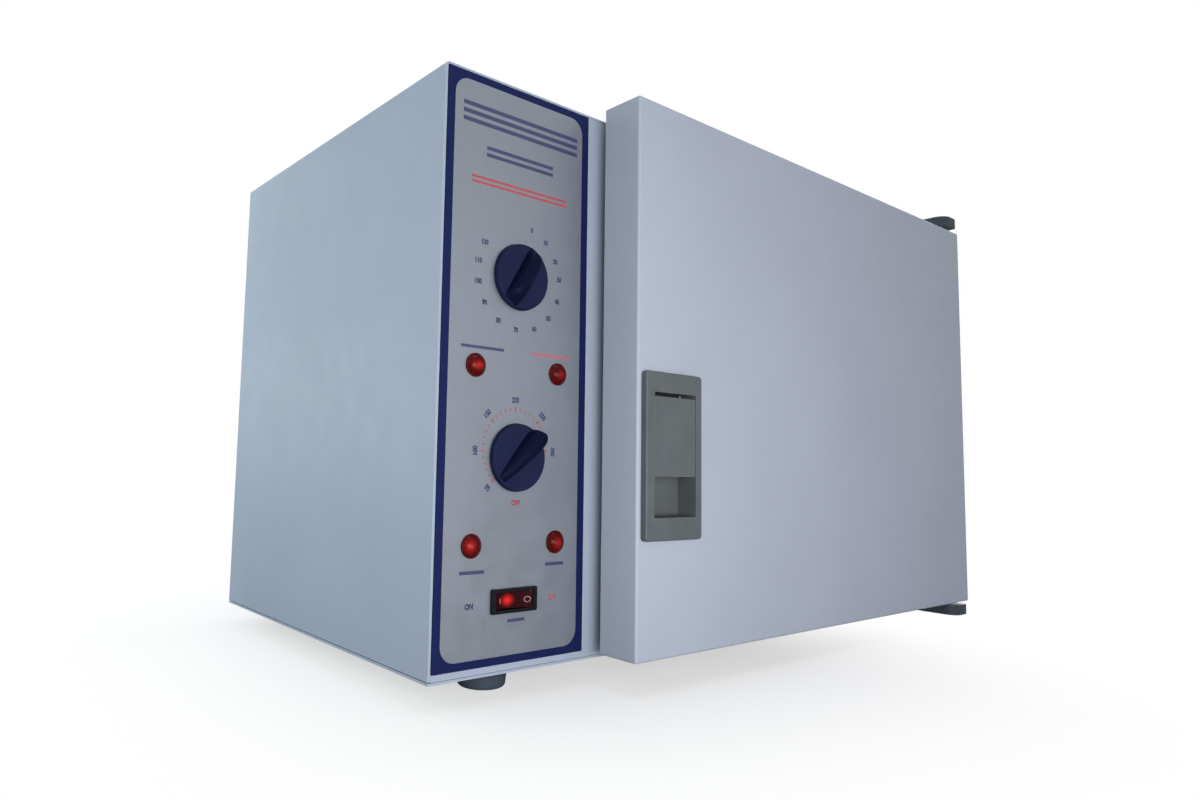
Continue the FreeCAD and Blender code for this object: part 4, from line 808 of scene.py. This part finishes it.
def buildFoot(size, node):
    low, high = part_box(node)
    centre = Vector(((low.x + high.x) / 2, (low.y + high.y) / 2, 0))
    chamfer = size["chamfer"]
    profile = [(size["hole"], size["floor"]), (size["hole"], size["height"]), (size["top"] - chamfer, size["height"]),
               (size["top"], size["height"] - chamfer)]
    profile += arcPoints((size["low"] - size["round"], size["round"]), size["round"], 0, -90, size["roundSteps"])
    profile += [(size["bore"] + chamfer, 0), (size["bore"], chamfer), (size["bore"], size["floor"]),
                (size["hole"], size["floor"])]
    work = bmesh.new()
    spun(work, profile, centre, size["steps"], "Z")
    pieceFrom(work, camelName(node), node, smooth=size["smooth"])


for node in ("foot_front_left", "foot_front_right", "foot_rear_left", "foot_rear_right"):
    buildFoot(foot, node)
print("feet done")

# Floor and light
studio = {
    "floorSize": 14.0, "floorDiffuse": 0.340, "floorGlow": 0.573, "floorBounce": 0.45,
    "roomColour": (0.93, 0.96, 1, 1), "ambient": 0.33,
    # the floor's shading fades to plain white between two distances from a box's foot: its middle and half sizes
    "shadeMiddle": (-0.1305, 0.014), "shadeHalf": (0.0785, 0.156), "nearFloor": 0.021, "farFloor": 0.271,
    # lamps: name, place, what it points at, width, height, power, and the tint of the cool ones
    "lamps": (("sideLight", (-0.85, 0.45, 0.24), (-0.289, 0.10, 0.21), 0.9, 0.25, 3.15, (0.87, 1.0, 1.02)),
              ("sideHigh", (-0.75, 0.40, 0.55), (-0.289, 0.08, 0.30), 0.9, 0.25, 0.9, (0.87, 1.0, 1.02)),
              ("stripHigh", (-0.80, 0.08, 0.45), (-0.289, 0.08, 0.25), 1.3, 0.25, 0.8, (0.87, 1.0, 1.02)),
              ("nearLight", (-0.54, -0.70, 0.15), (-0.12, -0.15, 0.15), 0.3, 0.3, 3.84),
              ("lowLight", (-0.25, -0.80, 0.05), (0.0, -0.15, 0.10), 0.4, 0.08, 2.1),
              ("frontLight", (0.4, -1.8, 0.5), (0.1, -0.13, 0.2), 1.0, 1.0, 2.26),
              ("topLight", (0.0, -0.05, 1.9), (0, -0.05, 0), 0.9, 0.9, 9.45),
              ("rearLight", (0.2, 2.0, 0.8), (0, 0.17, 0.2), 1.4, 1.0, 22.0),
              ("rightLight", (2.1, 0.3, 0.8), (0.289, 0, 0.2), 1.0, 1.0, 20.0)),
}


def buildFloor(size):
    work = bmesh.new()
    bmesh.ops.create_grid(work, x_segments=1, y_segments=1, size=size["floorSize"] / 2)
    mesh = bpy.data.meshes.new("floor")
    work.to_mesh(mesh)
    work.free()
    floor = bpy.data.objects.new("floor", mesh)
    scene.collection.objects.link(floor)
    made, tree, shader = nodeTree("floorPaper")
    tree.nodes.remove(shader)
    out = tree.nodes["Material Output"]
    path = tree.nodes.new("ShaderNodeLightPath")
    bounce = tree.nodes.new("ShaderNodeBsdfDiffuse")
    bounce.inputs["Color"].default_value = (*(size["floorBounce"],) * 3, 1)
    seen = tree.nodes.new("ShaderNodeBsdfDiffuse")
    seen.inputs["Color"].default_value = (*(size["floorDiffuse"],) * 3, 1)
    glow = tree.nodes.new("ShaderNodeEmission")
    glow.inputs["Strength"].default_value = size["floorGlow"]
    both = tree.nodes.new("ShaderNodeAddShader")
    pick = tree.nodes.new("ShaderNodeMixShader")
    tree.links.new(seen.outputs["BSDF"], both.inputs[0])
    tree.links.new(glow.outputs["Emission"], both.inputs[1])
    white = tree.nodes.new("ShaderNodeEmission")
    fade = tree.nodes.new("ShaderNodeMixShader")
    spread = objectCoords(tree, place=(-size["shadeMiddle"][0], -size["shadeMiddle"][1], 0))
    steps = (("ABSOLUTE", None), ("SUBTRACT", (*size["shadeHalf"], 0)), ("MAXIMUM", (0, 0, 0)), ("LENGTH", None))
    for operation, value in steps:
        step = tree.nodes.new("ShaderNodeVectorMath")
        step.operation = operation
        tree.links.new(spread, step.inputs[0])
        if value is not None:
            step.inputs[1].default_value = value
        spread = step.outputs["Value" if operation == "LENGTH" else "Vector"]
    ranged = remap(tree, spread, 0, 1, size["nearFloor"], size["farFloor"])
    ranged.node.interpolation_type = "SMOOTHSTEP"
    tree.links.new(ranged, fade.inputs["Fac"])
    tree.links.new(both.outputs["Shader"], fade.inputs[1])
    tree.links.new(white.outputs["Emission"], fade.inputs[2])
    tree.links.new(path.outputs["Is Camera Ray"], pick.inputs["Fac"])
    tree.links.new(bounce.outputs["BSDF"], pick.inputs[1])
    tree.links.new(fade.outputs["Shader"], pick.inputs[2])
    tree.links.new(pick.outputs["Shader"], out.inputs["Surface"])
    floor.data.materials.append(made)


def buildWorld(size):
    world = bpy.data.worlds.new("studio")
    scene.world = world
    world.use_nodes = True
    tree = world.node_tree
    tree.nodes.clear()
    out = tree.nodes.new("ShaderNodeOutputWorld")
    path = tree.nodes.new("ShaderNodeLightPath")
    seen = path.outputs["Is Camera Ray"]
    for ray in ("Is Glossy Ray", "Is Transmission Ray"):
        either = tree.nodes.new("ShaderNodeMath")
        either.operation = "MAXIMUM"
        tree.links.new(seen, either.inputs[0])
        tree.links.new(path.outputs[ray], either.inputs[1])
        seen = either.outputs["Value"]
    room = tree.nodes.new("ShaderNodeBackground")
    room.inputs["Color"].default_value = size["roomColour"]
    room.inputs["Strength"].default_value = size["ambient"]
    white = tree.nodes.new("ShaderNodeBackground")
    white.inputs["Color"].default_value = (1, 1, 1, 1)
    pick = tree.nodes.new("ShaderNodeMixShader")
    tree.links.new(seen, pick.inputs["Fac"])
    tree.links.new(room.outputs["Background"], pick.inputs[1])
    tree.links.new(white.outputs["Background"], pick.inputs[2])
    tree.links.new(pick.outputs["Shader"], out.inputs["Surface"])


def addSoftbox(name, place, target, wide, tall, power, tint=(1, 1, 1)):
    data = bpy.data.lights.new(name, "AREA")
    data.shape = "RECTANGLE"
    data.size, data.size_y = wide, tall
    data.energy = power
    data.color = tint
    lamp = bpy.data.objects.new(name, data)
    direction = Vector(target) - Vector(place)
    lamp.matrix_world = Matrix.Translation(place) @ direction.to_track_quat("-Z", "Y").to_matrix().to_4x4()
    scene.collection.objects.link(lamp)


buildFloor(studio)
buildWorld(studio)
for lamp in studio["lamps"]:
    addSoftbox(*lamp)
scene.view_settings.view_transform = "Standard"
print("studio done")
